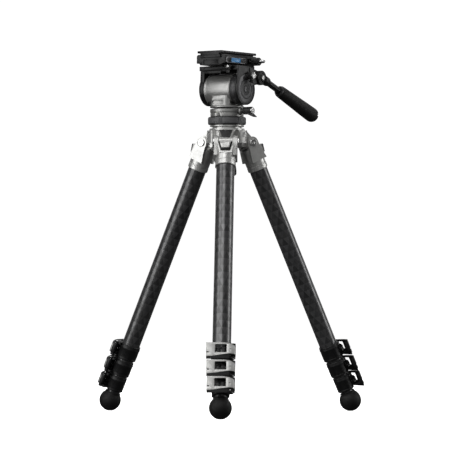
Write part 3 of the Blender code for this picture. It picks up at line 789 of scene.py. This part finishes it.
class TRIPOD_OT_feet(bpy.types.Operator):
    """Build the rubber ball feet"""
    bl_idname = "tripod.feet"
    bl_label = "Feet"

    def execute(self, context):
        for number in LEGS:
            ball = arc((0, -FOOT_CENTRE), FOOT_RADIUS, -88, 44, 44)
            collar = [(12.3, -435.6), (12.0, -434.2), (10.4, -433.9), (9.95, -434.4), (9.95, -444.4),
                      (0, -444.4)]
            foot = turned([(0, -FOOT_CENTRE - FOOT_RADIUS)] + ball + collar, 96)
            tilt = math.asin(-JOINTS[f"leg_{number}_extend_1"]["axis"][2])
            down = Vector((0, math.cos(tilt), -math.sin(tilt)))
            touch = Vector((0, 0, -FOOT_CENTRE)) + down * 17.1
            whole = foot.verts[:] + foot.edges[:] + foot.faces[:]
            cut = bmesh.ops.bisect_plane(foot, geom=whole, plane_co=touch, plane_no=down, clear_outer=True)
            rim = [item for item in cut["geom_cut"] if isinstance(item, bmesh.types.BMEdge)]
            bmesh.ops.contextual_create(foot, geom=rim)
            make(f"leg_{number}_ball_foot", foot, leg_frame(number), f"leg_{number}_fourth", "rubber",
                 stands_for=(f"leg_{number}_foot",))
        return {"FINISHED"}


# ---------------------------------------------------------------- centre

def copies(build, turns):
    """One shape made of copies that don't touch, each moved by its own matrix."""
    whole = bmesh.new()
    for matrix in turns:
        copy = moved(build(), matrix)
        mesh = bpy.data.meshes.new("Copy")
        copy.to_mesh(mesh)
        copy.free()
        whole.from_mesh(mesh)
        bpy.data.meshes.remove(mesh)
    return whole


def curved_pad(radii, span, low, high, corner, middle=0.0, steps=28):
    """A pad with round corners wrapped round Z, between two radii; span and middle in degrees."""
    shape = bmesh.new()
    inner, outer = radii
    half = math.radians(span) * outer / 2.0
    columns = []
    for step in range(steps + 1):
        across = -half * math.cos(math.pi * step / steps)
        into = max(0.0, abs(across) - (half - corner))
        cut = corner - math.sqrt(max(0.0, corner ** 2 - into ** 2))
        cut = min(cut, (high - low) / 2.0 - 0.05)
        angle = across / outer + math.radians(middle)
        points = ((inner, low + cut), (outer, low + cut), (outer, high - cut), (inner, high - cut))
        columns.append([shape.verts.new((r * math.cos(angle), r * math.sin(angle), z)) for r, z in points])
    for near, far in zip(columns, columns[1:]):
        for row in range(4):
            shape.faces.new((near[row], far[row], far[(row + 1) % 4], near[(row + 1) % 4]))
    shape.faces.new(columns[0])
    shape.faces.new(list(reversed(columns[-1])))
    return shape


class TRIPOD_OT_crown(bpy.types.Operator):
    """Build the crown with its bowl, tongues and textured panels"""
    bl_idname = "tripod.crown"
    bl_label = "Crown"
    PANEL = ((-10.6, 9.4), (-6.0, -8.6), (6.0, -8.6), (10.6, 9.4))

    def execute(self, context):
        at = stand_frame()
        bowl = [(24.3 * math.cos(a), BALL_HEIGHT - 24.3 * math.sin(a))
                for a in (math.radians(step) for step in range(67, 4, -4))]
        outside = [(27.1, 447.0), (27.7, 446.5), (27.7, 444.5), (27.2, 444.0), (25.4, 443.2), (24.2, 437.0),
                   (24.0, 424.6), (23.4, 423.6), (21.5, 421.3), (21.0, 421.0), (9.5, 421.0), (9.0, 421.5)]
        height = HINGE[2]
        tip = arc((HINGE[0], height), 7.5, -90, 90, 16)
        tongue = [(20.0, height - 7.5)] + tip + [(20.0, height + 7.5)]
        lug = [(23.0, -8.0), (30.3, -8.0), (32.0, -6.2), (32.0, 6.2), (30.3, 8.0), (23.0, 8.0)]
        hood = [(22.0, 444.3), (28.4, 444.3), (42.1, 430.2), (38.0, 426.0), (22.0, 426.0)]
        joined, removed = [], []
        slope = self.slope()
        for turn in LEG_TURNS:
            around = turn_z(turn)
            between = turn_z(turn + 60.0)
            joined.append(moved(endways(extruded(tongue, -11.4, 11.4)), around))
            joined.append(moved(extruded(lug, 424.0, 443.6), between))
            joined.append(moved(endways(extruded(hood, -11.3, 11.3)), around))
            removed.append(moved(moved(extruded(self.PANEL, 17.4, 40), slope), around))
            for side in (-1, 1):
                corner = [(side * 11.0, 437.5), (side * 14.6, 444.3), (side * 11.0, 444.3)]
                joined.append(moved(sideways(extruded(corner, 22.0, 28.4)), around))
            bolt = Matrix.Translation(HINGE) @ Matrix.Rotation(math.pi / 2, 4, "X")
            removed.append(moved(rod(3.5, -20, 20), around @ bolt))
            removed.append(moved(along_x(rod(2.4, 30.4, 34), z=CROWN_SCREW_HEIGHT), between))
            removed.append(moved(block((31.2, -4.6, 426.6), (34, 4.6, 433.6)), between))
        make("crown_casting", turned(outside + bowl, 128, ring=True), at, "stand", "alloy", 0.5,
             add=joined, take=removed, stands_for=("crown",))
        for number, turn in zip(LEGS, LEG_TURNS):
            around = turn_z(turn)
            between = turn_z(turn + 60.0)
            face = extruded([(x * 0.97, y * 0.97) for x, y in self.PANEL], 16.9, 18.1)
            grooves = [block((-12, y, 17.8), (12, y + 0.5, 19)) for y in range(-6, 8, 2)]
            make(f"crown_panel_{number}", moved(moved(face, slope), around), at, "stand", "dial", 0.15,
                 take=[moved(moved(groove, slope), around) for groove in grooves])
            screw = turned([(0, 27), (2.2, 27), (2.2, 31.1), (1.9, 31.4), (0, 31.4)], 40)
            make(f"crown_screw_{number}", moved(along_x(screw, z=CROWN_SCREW_HEIGHT), between), at, "stand",
                 "steel",
                 take=[moved(along_x(rod(1.1, 30.6, 33, 6), z=CROWN_SCREW_HEIGHT), between)])
        return {"FINISHED"}

    @staticmethod
    def slope():
        """The hood's face: X across it, Y up it, Z out of it, with the stand's axis 18 mm behind."""
        lean = math.atan2(444.3 - 430.2, 42.1 - 28.4)
        out = Vector((math.sin(lean), 0.0, math.cos(lean)))
        up = Vector((-math.cos(lean), 0.0, math.sin(lean)))
        middle = Vector((35.25, 0.0, 437.25)) - out * 18.0
        axes = Matrix((Vector((0.0, 1.0, 0.0)), up, out)).transposed().to_4x4()
        return Matrix.Translation(middle) @ axes


class TRIPOD_OT_levelling(bpy.types.Operator):
    """Build the half ball, its hanging handle and the grip collar"""
    bl_idname = "tripod.levelling"
    bl_label = "Levelling base"

    def execute(self, context):
        at = stand_frame()
        ball = [(23.0 * math.cos(a), BALL_HEIGHT - 23.0 * math.sin(a))
                for a in (math.radians(step) for step in range(0, 79, 3))]
        self.liner(at)
        half_ball = [(0, 452.0), (26.5, 452.0), (27.0, 451.5), (27.0, 450.4), (26.6, 450.0)] + ball
        make("half_ball", turned(half_ball + [(4.0, 426.2), (4.0, 395.4), (3.6, 395.0), (0, 395.0)], 128), at,
             "head_base", "alloy", stands_for=("level_ball",))
        outside = [(4.3, 417.8), (9.6, 417.8), (10.4, 417.2), (11.2, 415.6), (11.2, 408.4), (10.7, 407.9),
                   (10.7, 407.1), (11.3, 406.6), (12.6, 400.0), (15.0, 382.0), (15.0, 376.2), (14.4, 374.8),
                   (12.6, 373.0), (6.0, 373.0), (5.4, 373.8), (0, 373.8), (0, 394.0), (4.3, 394.0)]
        lean = math.degrees(math.atan2(2.4, 18.0))
        groove = Matrix.Rotation(math.radians(-lean), 4, "Y")
        ribs = copies(lambda: moved(moved(rod(0.85, -10.5, 10.5, 12), groove), shift(14.2, 0, 390.6)),
                      spread_out(22))
        make("hanging_handle", turned(outside, 96, ring=True), at, "level_handle", "moulding", 0.15,
             take=[ribs], stands_for=("level_handle",))
        rim = [(26.2, 453.0), (28.7, 453.0), (29.6, 453.9), (29.6, 464.1), (28.7, 465.0), (26.2, 465.0)]
        make("grip_collar", turned(rim, 128, ring=True), at, "level_collar", "dial", 0.2,
             stands_for=("level_collar",))
        for step in range(6):
            make(f"collar_pad_{step + 1}", curved_pad((29.0, 30.0), 50.0, 454.8, 463.4, 2.2,
                                                      -76.5 + 60.0 * step), at,
                 "level_collar", "pad", 0.3)
        return {"FINISHED"}

    @staticmethod
    def liner(at):
        """Thin cup between the ball and the crown."""
        slope = [math.radians(step) for step in range(12, 61, 4)]
        walls = [[(radius * math.cos(a),
                   BALL_HEIGHT - radius * math.sin(a)) for a in slope] for radius in (23.9, 23.4)]
        make("bowl_cup", turned(walls[0] + walls[1][::-1], 96, ring=True), at, "level_liner", "dial",
             stands_for=("level_liner",))


# ---------------------------------------------------------------- head

class TRIPOD_OT_pan(bpy.types.Operator):
    """Build the pan base, its bubble level and the lock knob"""
    bl_idname = "tripod.pan"
    bl_label = "Pan base"

    def execute(self, context):
        at = head_frame()
        profile = [(0, 452.3), (25.8, 452.3), (25.8, 465.3), (26.2, 465.8), (26.2, 471.2), (25.8, 471.6),
                   (25.8, 472.0), (26.8, 472.6), (26.8, 476.9), (26.1, 477.6), (6.3, 477.6), (6.3, 456.5),
                   (0, 456.5)]
        knob_hole = along_x(rod(3.3, 19, 40), z=PAN_KNOB_HEIGHT)
        boss = moved(rod(7.0, 465.5, 470.4, 64), Matrix.Translation(self.level_place()))
        make("pan_bearing", turned(profile, 128), at, "head_base", "head alloy", 0.25,
             add=[boss], take=[knob_hole], stands_for=("pan_base",))
        collar = along_x(turned([(3.3, 26.2), (6.6, 26.2), (6.6, 28.6), (6.0, 29.4), (3.3, 29.4)], 48,
                                ring=True),
                         z=PAN_KNOB_HEIGHT)
        make("pan_lock_boss", collar, at, "head_base", "head alloy", 0.2)
        dome = turned([(0, 470.2), (5.2, 470.2), (5.2, 470.7), (4.2, 471.3), (2.4, 471.8), (0, 471.95)], 64)
        make("bubble_level", moved(dome, Matrix.Translation(self.level_place())), at, "head_base", "level")
        ring = turned([(5.3, 470.2), (6.2, 470.2), (6.2, 470.9), (5.3, 471.1)], 64, ring=True)
        make("bubble_ring", moved(ring, Matrix.Translation(self.level_place())), at, "head_base", "anodised")
        lock_knob("pan_lock", at, (0.0, PAN_KNOB_HEIGHT), (20.0, 32.5, 50.0), (55.0, 10.5), "pan_lock",
                  ("pan_lock_knob",))
        return {"FINISHED"}

    @staticmethod
    def level_place():
        """Centre of the level's boss, on the side that faces the front left."""
        turn = math.radians(-94.0)
        return Vector((23.0 * math.cos(turn), 23.0 * math.sin(turn), 0.0))


def lock_knob(name, at, axis, reach, tip, body, stands_for):
    """A fluted black hub on a steel shaft, with a bright cap and a wedge for the thumb."""
    start, shoulder, end = reach
    hub = [(0, shoulder), (5.4, shoulder), (6.0, shoulder + 0.7), (6.0, end - 2.6), (5.7, end - 2.2),
           (5.7, end - 1.2),
           (0, end - 1.2)]
    flutes = copies(lambda: moved(rod(0.7, shoulder + 2.0, end - 3.4, 10), shift(6.3, 0, 0)),
                    spread_out(16))
    wedge = [(shoulder + 4.0, -4.0), (end - 1.6, -4.4), (end + 0.6, -6.6), (tip[0], -tip[1]),
             (tip[0] - 2.0, -tip[1]), (tip[0] - 7.0, -tip[1] * 0.82)]
    blade = moved(endways(extruded(wedge, -4.2, 4.2)), shift(0, *axis))
    make(f"{name}_hub", along_x(turned(hub, 64), *axis), at, body, "moulding", 0.3,
         add=[blade], take=[along_x(flutes, *axis)], stands_for=stands_for)
    shaft = [(0, start), (2.6, start), (3.0, start + 0.4), (3.0, shoulder), (0, shoulder)]
    make(f"{name}_shaft", along_x(turned(shaft, 48), *axis), at, body, "steel")
    cap = [(0, end - 1.3), (5.5, end - 1.3), (5.5, end - 0.6), (4.9, end - 0.1), (3.2, end - 0.1),
           (2.8, end - 0.5),
           (0, end - 0.5)]
    make(f"{name}_cap", along_x(turned(cap, 64), *axis), at, body, "steel")


class TRIPOD_OT_drum(bpy.types.Operator):
    """Build the turning casting with the drum, its blank label, the dial and the shaft"""
    bl_idname = "tripod.drum"
    bl_label = "Drum"

    def execute(self, context):
        at = head_frame()
        disc = [(0, 457.0), (5.7, 457.0), (6.0, 457.3), (6.0, 479.6), (26.3, 479.6), (26.8, 480.1),
                (26.8, 481.9),
                (26.0, 482.8), (0, 482.8)]
        housing = [(0, -28.5), (23.6, -28.5), (24.5, -27.6), (24.5, -24.2), (24.1, -23.9), (24.1, -23.3),
                   (24.5, -23.0), (24.5, 18.8), (24.0, 19.4), (24.0, 20.3), (0, 20.3)]
        waist = [(-17.0, -19.6), (-14.0, -22.6), (-11.0, -23.5), (11.0, -23.5), (14.6, -22.4), (18.0, -18.6),
                 (18.0, 18.6), (14.6, 22.4), (11.0, 23.5), (-11.0, 23.5), (-14.0, 22.6), (-17.0, 19.6)]
        foot = [(-22, -6.0), (-17.6, -17.6), (-6.0, -22.5), (6.0, -22.5), (17.6, -17.6), (22, -6.0),
                (22, 6.0), (17.6, 17.6), (6.0, 22.5), (-6.0, 22.5), (-17.6, 17.6), (-22, 6.0)]
        scallops = [moved(rod(7.0, 483.4, 493.5, 48), shift(x, y, 0))
                    for x in (-21.6, 22.4) for y in (-9.0, 9.0)]
        pocket = endways(extruded(rounded((-11.5, 484.8), (9.5, 491.4), 3.2), -30, -21.6))
        rear_pocket = endways(extruded(rounded((-11.5, 484.8), (9.5, 491.4), 3.2), 21.6, 30))
        bore = along_x(rod(5.3, -50, 50), z=TILT_HEIGHT)
        make("drum_casting", turned(disc, 128), at, "pan_head", "head alloy", 0.45,
             add=[extruded(foot, 482.0, 484.6), extruded(waist, 482.0, 498.0),
                  along_x(turned(housing, 128), z=TILT_HEIGHT)],
             take=scallops + [pocket, rear_pocket, bore], stands_for=("head_body",))
        label = curved_pad((24.0, 24.95), 54.0, -18.4, 12.6, 2.0)
        upright = moved(label, Matrix.Rotation(math.pi / 2, 4, "Y"))
        facing = moved(upright, Matrix.Rotation(math.radians(90), 4, "X"))
        make("blank_label", moved(facing, shift(0, 0, TILT_HEIGHT)), at, "pan_head", "label", 0.15,
             own_axes=True)
        self.dial(at)
        shaft = [(0, -36.0), (4.6, -36.0), (5.0, -35.6), (5.0, 35.6), (4.6, 36.0), (0, 36.0)]
        make("trunnion", along_x(turned(shaft, 64), z=TILT_HEIGHT), at, "tilt_head", "steel")
        return {"FINISHED"}

    @staticmethod
    def dial(at):
        ring = [(5.4, 20.8), (23.4, 20.8), (24.2, 21.5), (24.2, 31.4), (23.4, 32.5), (20.0, 32.5),
                (19.4, 32.1),
                (5.4, 32.1)]
        make("dial_ring", along_x(turned(ring, 128, ring=True), z=TILT_HEIGHT), at, "dial", "dial", 0.2,
             stands_for=("counterbalance_dial",))
        for step in range(10):
            pad = along_x(curved_pad((23.9, 24.9), 25.0, 23.0, 30.2, 1.4, 36.0 * step), z=TILT_HEIGHT)
            make(f"dial_pad_{step + 1}", pad, at, "dial", "dial", 0.25)


class TRIPOD_OT_cradle(bpy.types.Operator):
    """Build the tilting cradle with its end caps, bridge and handle bracket"""
    bl_idname = "tripod.cradle"
    bl_label = "Cradle"

    def execute(self, context):
        at = head_frame()
        lift = shift(0, 0, TILT_HEIGHT)
        bridge = block((-35.9, -24.0, 537.5), (35.9, 24.0, 544.5))
        arms = [moved(sideways(extruded([(-20.0, 35.7)] + arc((0, 0), 24.8, 150, 390, 60) + [(20.0, 35.7)],
                                        *ends)), lift)
                for ends in ((-36.3, -29.0), (33.0, 36.3))]
        y, z = ROSETTE.y, ROSETTE.z - TILT_HEIGHT
        web = [(10.0, 34.5), (10.0, 6.0)] + arc((y, z), 10.5, -70, 80, 20)
        arms.append(moved(sideways(extruded(web, 33.2, 37.7)), lift))
        holes = [along_x(rod(3.3, 30, 50), *TILT_KNOB), along_x(rod(4.3, 30, 50), y, ROSETTE.z)]
        slots = [block((-28, -25, 539.6), (27, -22.6, 542.4)), block((-28, 22.6, 539.6), (27, 25, 542.4)),
                 block((-24, -15, 536), (-6, 15, 538.6)), block((6, -15, 536), (24, 15, 538.6))]
        cheek = [(-14.0, 33.2)] + arc((0, 0), 19.6, 128, 52, 14) + [(14.0, 33.2)]
        slots.append(moved(sideways(extruded(cheek, -37, -35.4)), lift))
        make("cradle", bridge, at, "tilt_head", "anodised", 0.5, add=arms, take=holes + slots,
             stands_for=("tilt_cradle",))
        left = [(0, -34.5), (0, -36.7), (5.6, -36.7), (6.4, -36.2), (7.0, -35.6), (11.0, -35.6),
                (11.6, -36.1),
                (12.2, -36.8), (17.2, -36.8), (18.0, -36.2), (18.0, -34.5)]
        make("left_cap", along_x(turned(left, 128), z=TILT_HEIGHT), at, "tilt_head", "anodised")
        right = [(0, 35.0), (0, 37.3), (4.8, 37.3), (5.6, 36.8), (5.8, 36.0), (9.4, 36.0), (9.7, 36.7),
                 (14.4, 36.7),
                 (14.8, 36.2), (15.4, 36.2), (15.8, 36.9), (22.0, 36.9), (23.4, 35.9), (23.4, 35.0)]
        flats = [moved(along_x(rod(1.0, 35.8, 39, 6)), shift(0, 0, TILT_HEIGHT))]
        make("right_cap", along_x(turned(right, 128), z=TILT_HEIGHT), at, "tilt_head", "cap", take=flats)
        bolts = copies(lambda: moved(rod(1.7, -36.9, -36.0, 32), shift(9.0, 0, 0)),
                       spread_out(4, math.radians(45)))
        make("left_cap_screws", along_x(bolts, z=TILT_HEIGHT), at, "tilt_head", "steel")
        band = [(9.9, 36.2), (14.3, 36.2), (14.3, 36.9), (9.9, 36.9)]
        make("right_cap_band", along_x(turned(band, 128, ring=True), z=TILT_HEIGHT), at, "tilt_head", "pad",
             0.2)
        make("bridge_underside", block((-28.4, -21.5, 533.4), (20.0, 21.5, 538.2)), at, "tilt_head",
             "moulding", 0.5,
             take=[block((3.0, -30, 533.0), (13.0, 30, 536.0))])
        washer = [(4.3, 37.0), (10.4, 37.0), (10.4, 37.7), (4.3, 37.7)]
        teeth = copies(lambda: block((7.0, -0.25, 37.4), (10.0, 0.25, 38.0)), spread_out(36))
        make("rosette_seat", along_x(turned(washer, 96, ring=True), y, ROSETTE.z), at, "tilt_head",
             "anodised",
             take=[along_x(teeth, y, ROSETTE.z)])
        lock_knob("tilt_lock", at, TILT_KNOB, (33.5, 38.2, 48.0), (50.0, 12.5), "tilt_lock",
                  ("tilt_lock_knob",))
        self.side_lever(at)
        return {"FINISHED"}

    @staticmethod
    def side_lever(at):
        """Small pointed lever under the platform, on the side of the release button."""
        outline = [(-42.0, 543.6), (-39.5, 544.6), (-6.0, 544.6), (0.0, 533.6), (-4.4, 533.4), (-12.0, 537.6),
                   (-34.0, 538.6), (-42.0, 541.2)]
        make("safety_lever", sideways(extruded(outline, 24.6, 27.2)), at, "tilt_head", "anodised", 0.5)
        edge = [(-11.6, 543.6), (-9.0, 543.6), (-1.6, 534.6), (-4.0, 534.4)]
        make("safety_lever_edge", sideways(extruded(edge, 27.0, 27.7)), at, "tilt_head", "dial", 0.25)
        pin = [(0, 24.6), (2.1, 24.6), (2.1, 28.0), (1.7, 28.4), (0, 28.4)]
        make("safety_lever_pin", along_x(turned(pin, 48), -38.4, 542.0), at, "tilt_head", "steel")


class TRIPOD_OT_platform(bpy.types.Operator):
    """Build the platform with the dovetail channel, its button window and its knob"""
    bl_idname = "tripod.platform"
    bl_label = "Platform"

    def execute(self, context):
        at = head_frame()
        half = [(20.6, 545.0), (21.8, 547.6), (26.4, 547.8), (27.5, 548.9), (27.5, 558.0), (26.9, 559.2),
                (24.6, 561.5), (18.2, 561.5), (20.4, 556.6)]
        outline = half + [(-x, z) for x, z in reversed(half)]
        grooves = [block((26.8, -45, 558.6), (28, 45, 559.1)), block((-28, -45, 553.4), (-26.6, 45, 554.4)),
                   block((-28, -30, 549.8), (-26.9, 30, 551.8)), block((-14, -45, 546.6), (14, -42.6, 553.0)),
                   block((-14, 42.6, 546.6), (14, 45, 553.0)), block((26.6, -45, 553.9), (28, -42.4, 554.8))]
        corners = [moved(block((-6, -6, 540), (6, 6, 565)),
                         shift(x * 31.4, y * 47.9, 0) @ turn_z(45.0))
                   for x in (-1, 1) for y in (-1, 1)]
        pocket = block((23.2, -27.2, 548.8), (30, -2.4, 556.2))
        hole = along_x(rod(3.3, 24, 40), *PLATE_KNOB)
        make("platform", endways(extruded(outline, -44, 44)), at, "tilt_head", "anodised", 0.45,
             take=grooves + corners + [pocket, hole], stands_for=("plate_clamp",))
        outer = rounded((-41.6, 548.2), (16.0, 557.0), 4.35, 10)
        inner = rounded((-40.5, 549.3), (14.9, 555.9), 3.25, 10)
        window = sideways(extruded(rounded((-27.0, 548.9), (-2.6, 556.1), 0.4), 20, 30))
        make("window_rim", sideways(extruded(outer, 27.0, 28.1)), at, "tilt_head", "rim", 0.2,
             take=[sideways(extruded(inner, 26, 30)), window])
        panel = rounded((-1.6, 549.8), (14.2, 555.4), 1.0)
        ribs = [block((27.6, -0.6 + step * 1.6, 549), (29, 0.0 + step * 1.6, 557)) for step in range(9)]
        make("window_panel", sideways(extruded(panel, 27.0, 27.9)), at, "tilt_head", "dial", 0.15, take=ribs)
        face = rounded((-26.8, 549.2), (-2.8, 555.8), 0.9)
        dimples = [sideways(extruded(rounded((-24.6, 550.8), (-8.0, 554.2), 0.8), 27.75, 29))]
        make("release_button", sideways(extruded(face, 25.4, 28.0)), at, "button", "button", 0.35,
             take=dimples, stands_for=("safety_button",))
        self.knob(at)
        return {"FINISHED"}

    @staticmethod
    def knob(at):
        hub = [(0, 28.5), (5.4, 28.5), (5.8, 29.0), (6.4, 29.9), (6.4, 41.6), (5.7, 42.4), (5.2, 43.0),
               (0, 43.0)]
        flutes = copies(lambda: moved(rod(0.9, 31.4, 44, 10), shift(6.8, 0, 0)), spread_out(14))
        make("plate_knob", along_x(turned(hub, 64), *PLATE_KNOB), at, "plate_lock", "moulding", 0.25,
             take=[along_x(flutes, *PLATE_KNOB)], stands_for=("plate_lock_knob",))
        tip = [(0, 42.6), (2.8, 42.6), (2.8, 48.0), (2.5, 48.3), (2.5, 49.0), (2.8, 49.3), (2.8, 51.2),
               (2.2, 51.8),
               (0, 51.8)]
        make("plate_knob_tip", along_x(turned(tip, 48), *PLATE_KNOB), at, "plate_lock", "steel")
        shaft = [(0, 24.6), (2.6, 24.6), (3.0, 25.0), (3.0, 28.6), (0, 28.6)]
        make("plate_knob_shaft", along_x(turned(shaft, 48), *PLATE_KNOB), at, "plate_lock", "steel")


class TRIPOD_OT_plate(bpy.types.Operator):
    """Build the sliding plate with its pads, pin and camera screw"""
    bl_idname = "tripod.plate"
    bl_label = "Plate"

    def execute(self, context):
        at = head_frame()
        half = [(22.4, 567.0), (23.0, 566.4), (23.0, 563.9), (22.5, 563.4), (16.9, 563.4), (19.8, 557.2),
                (19.5, 557.0)]
        outline = half + [(-x, z) for x, z in reversed(half)]
        slot = extruded(rounded((-3.6, -1.6), (3.6, 22.4), 3.5, 10), 550, 570)
        recess = extruded(rounded((-6.2, -4.6), (6.2, 25.4), 1.2), 550, 563.1)
        beds = [extruded(rounded((x - 4.0, -44.0), (x + 4.0, 44.0), 1.4), 566.3, 568) for x in (-16.2, 16.2)]
        ends = [block((-30, y, 556), (30, y + 2.4, 560.4)) for y in (-48.4, 46.0)]
        notches = [block((x * 23.4 - 0.9, y - 0.4, 564), (x * 23.4 + 0.9, y + 0.4, 568))
                   for x in (-1, 1) for y in range(-36, 37, 6)]
        make("sliding_plate", endways(extruded(outline, -47.5, 47.5)), at, "plate", "anodised", 0.3,
             take=[slot, recess] + beds + ends + notches, stands_for=("quick_release_plate",))
        for number, x in enumerate((-16.2, 16.2), 1):
            pad = extruded(rounded((x - 3.8, -43.8), (x + 3.8, 43.8), 1.3), 566.2, 566.98)
            ridges = [block((x - 5, y, 566.75), (x + 5, y + 1.4, 568)) for y in range(-40, 40, 4)]
            make(f"plate_pad_{number}", pad, at, "plate", "rubber", 0.1, take=ridges)
        pin = [(0, 562), (1.5, 562), (1.5, 569.0), (1.1, 569.5), (0, 569.5)]
        make("anti_turn_pin", moved(turned(pin, 40), shift(0, -6.3, 0)), at, "plate", "steel")
        shank = [(0, 559.8), (5.0, 559.8), (5.6, 560.3), (5.6, 562.4), (5.2, 562.9), (3.2, 562.9),
                 (3.2, 566.6)]
        for turn in range(4):
            base = 566.7 + turn * 0.75
            shank += [(3.2, base), (2.7, base + 0.35)]
        shank += [(3.0, 569.6), (2.6, 570.0), (0, 570.0)]
        middle = shift(0, 10.4, 0)
        make("threaded_screw", moved(turned(shank, 64), middle), at, "screw", "steel",
             take=[moved(block((-6, -0.6, 559), (6, 0.6, 561.2)), middle)], stands_for=("camera_screw",))
        return {"FINISHED"}


class TRIPOD_OT_handle(bpy.types.Operator):
    """Build the pan handle with its rosette hub and ribbed grip"""
    bl_idname = "tripod.handle"
    bl_label = "Pan handle"

    def execute(self, context):
        at = head_frame() @ Matrix.Translation(ROSETTE * MM)
        hub = [(0, -8.0), (3.6, -8.0), (4.0, -7.6), (4.0, 0), (10.8, 0), (11.5, 0.8), (11.5, 7.0),
               (10.9, 7.7),
               (9.8, 7.7), (9.5, 7.3), (8.6, 7.3), (8.3, 8.0), (7.2, 8.2), (6.6, 7.8), (6.0, 8.4), (5.6, 9.9),
               (3.4, 9.9), (3.0, 9.3), (0, 9.3)]
        drop = shift(5.4, 0, 0) @ Matrix.Rotation(-math.pi / 2 - math.radians(20.0), 4, "X")
        bar = moved(rod(5.0, 4.0, 150.0, 64), drop)
        neck = moved(turned([(0, 6), (7.2, 6), (7.2, 16), (6.2, 18.6), (0, 18.6)], 64), drop)
        make("handle_rosette", along_x(turned(hub, 96)), at, "pan_handle", "anodised", 0.25,
             add=[bar, neck], stands_for=("handle_bar",))
        boss = [(0, 9.2), (3.3, 9.2), (3.3, 9.8), (2.8, 10.0), (0, 10.0)]
        make("handle_boss", along_x(turned(boss, 48)), at, "pan_handle", "alloy", 0,
             take=[along_x(rod(1.3, 9.5, 12, 6))])
        collar = [(5.3, 51.6), (7.4, 51.6), (8.4, 52.8), (8.4, 55.4), (5.3, 55.4)]
        make("grip_ring", moved(turned(collar, 64, ring=True), drop), at, "pan_handle", "dial")
        grip = [(5.3, 54.0), (7.9, 54.0), (9.4, 56.0), (9.8, 64.0), (10.2, 80.0), (10.8, 105.0),
                (11.4, 128.0)]
        grip += arc((0, 151.2), 11.8, 0, 88, 14) + [(0, 163.0), (0, 150.5), (5.3, 150.5)]
        ribs = copies(lambda: moved(block((11.0, -0.45, 66), (14, 0.45, 136)),
                                    Matrix.Rotation(math.radians(1.2), 4, "Y")), spread_out(20))
        lanyard = moved(rod(1.6, -14, 14, 24), shift(0, 0, 153.6) @ Matrix.Rotation(math.pi / 2, 4, "Y"))
        make("ribbed_grip", moved(turned(grip, 96, ring=True), drop), at, "pan_handle", "rubber", 0.2,
             take=[moved(ribs, drop), moved(lanyard, drop)], stands_for=("handle_grip",))
        eyelet = turned([(1.5, 11.2), (2.5, 11.2), (2.5, 11.75), (1.9, 11.75), (1.5, 11.5)], 32, ring=True)
        facing = drop @ shift(0, 0, 152.6) @ Matrix.Rotation(math.pi / 2, 4, "Y")
        make("lanyard_eyelet", moved(eyelet, facing), at, "pan_handle", "steel")
        return {"FINISHED"}


# ---------------------------------------------------------------- sidebar and start

BUILDERS = ("forks", "tubes", "clamps", "levers", "feet", "crown", "levelling", "pan", "drum", "cradle",
            "platform",
            "plate", "handle", "stage")


class TRIPOD_PT_panel(bpy.types.Panel):
    """Lists the finishes, the stage settings and the build buttons"""
    bl_idname = "TRIPOD_PT_panel"
    bl_label = "Video Tripod"
    bl_space_type = "VIEW_3D"
    bl_region_type = "UI"
    bl_category = "Tripod"

    def draw(self, context):
        layout = self.layout
        for title, settings in (("Finish", context.scene.tripod_finish),
                                ("Stage", context.scene.tripod_stage)):
            box = layout.box()
            box.label(text=title)
            for name in settings.__annotations__:
                box.prop(settings, name)
        column = layout.column(align=True)
        for name in BUILDERS:
            column.operator(f"tripod.{name}")


CLASSES = (TripodFinish, TripodStage, TRIPOD_OT_forks, TRIPOD_OT_tubes, TRIPOD_OT_clamps, TRIPOD_OT_levers,
           TRIPOD_OT_feet, TRIPOD_OT_crown, TRIPOD_OT_levelling, TRIPOD_OT_pan, TRIPOD_OT_drum,
           TRIPOD_OT_cradle,
           TRIPOD_OT_platform, TRIPOD_OT_plate, TRIPOD_OT_handle, TRIPOD_OT_stage, TRIPOD_PT_panel)


def register():
    """Adds the classes and the settings to Blender."""
    for item in CLASSES:
        bpy.utils.register_class(item)
    bpy.types.Scene.tripod_finish = PointerProperty(type=TripodFinish)
    bpy.types.Scene.tripod_stage = PointerProperty(type=TripodStage)


def unregister():
    """Takes them away again."""
    del bpy.types.Scene.tripod_stage
    del bpy.types.Scene.tripod_finish
    for item in reversed(CLASSES):
        bpy.utils.unregister_class(item)


def main():
    """Builds every piece and the stage."""
    register()
    for name in BUILDERS:
        getattr(bpy.ops.tripod, name)()


if __name__ == "__main__":
    main()
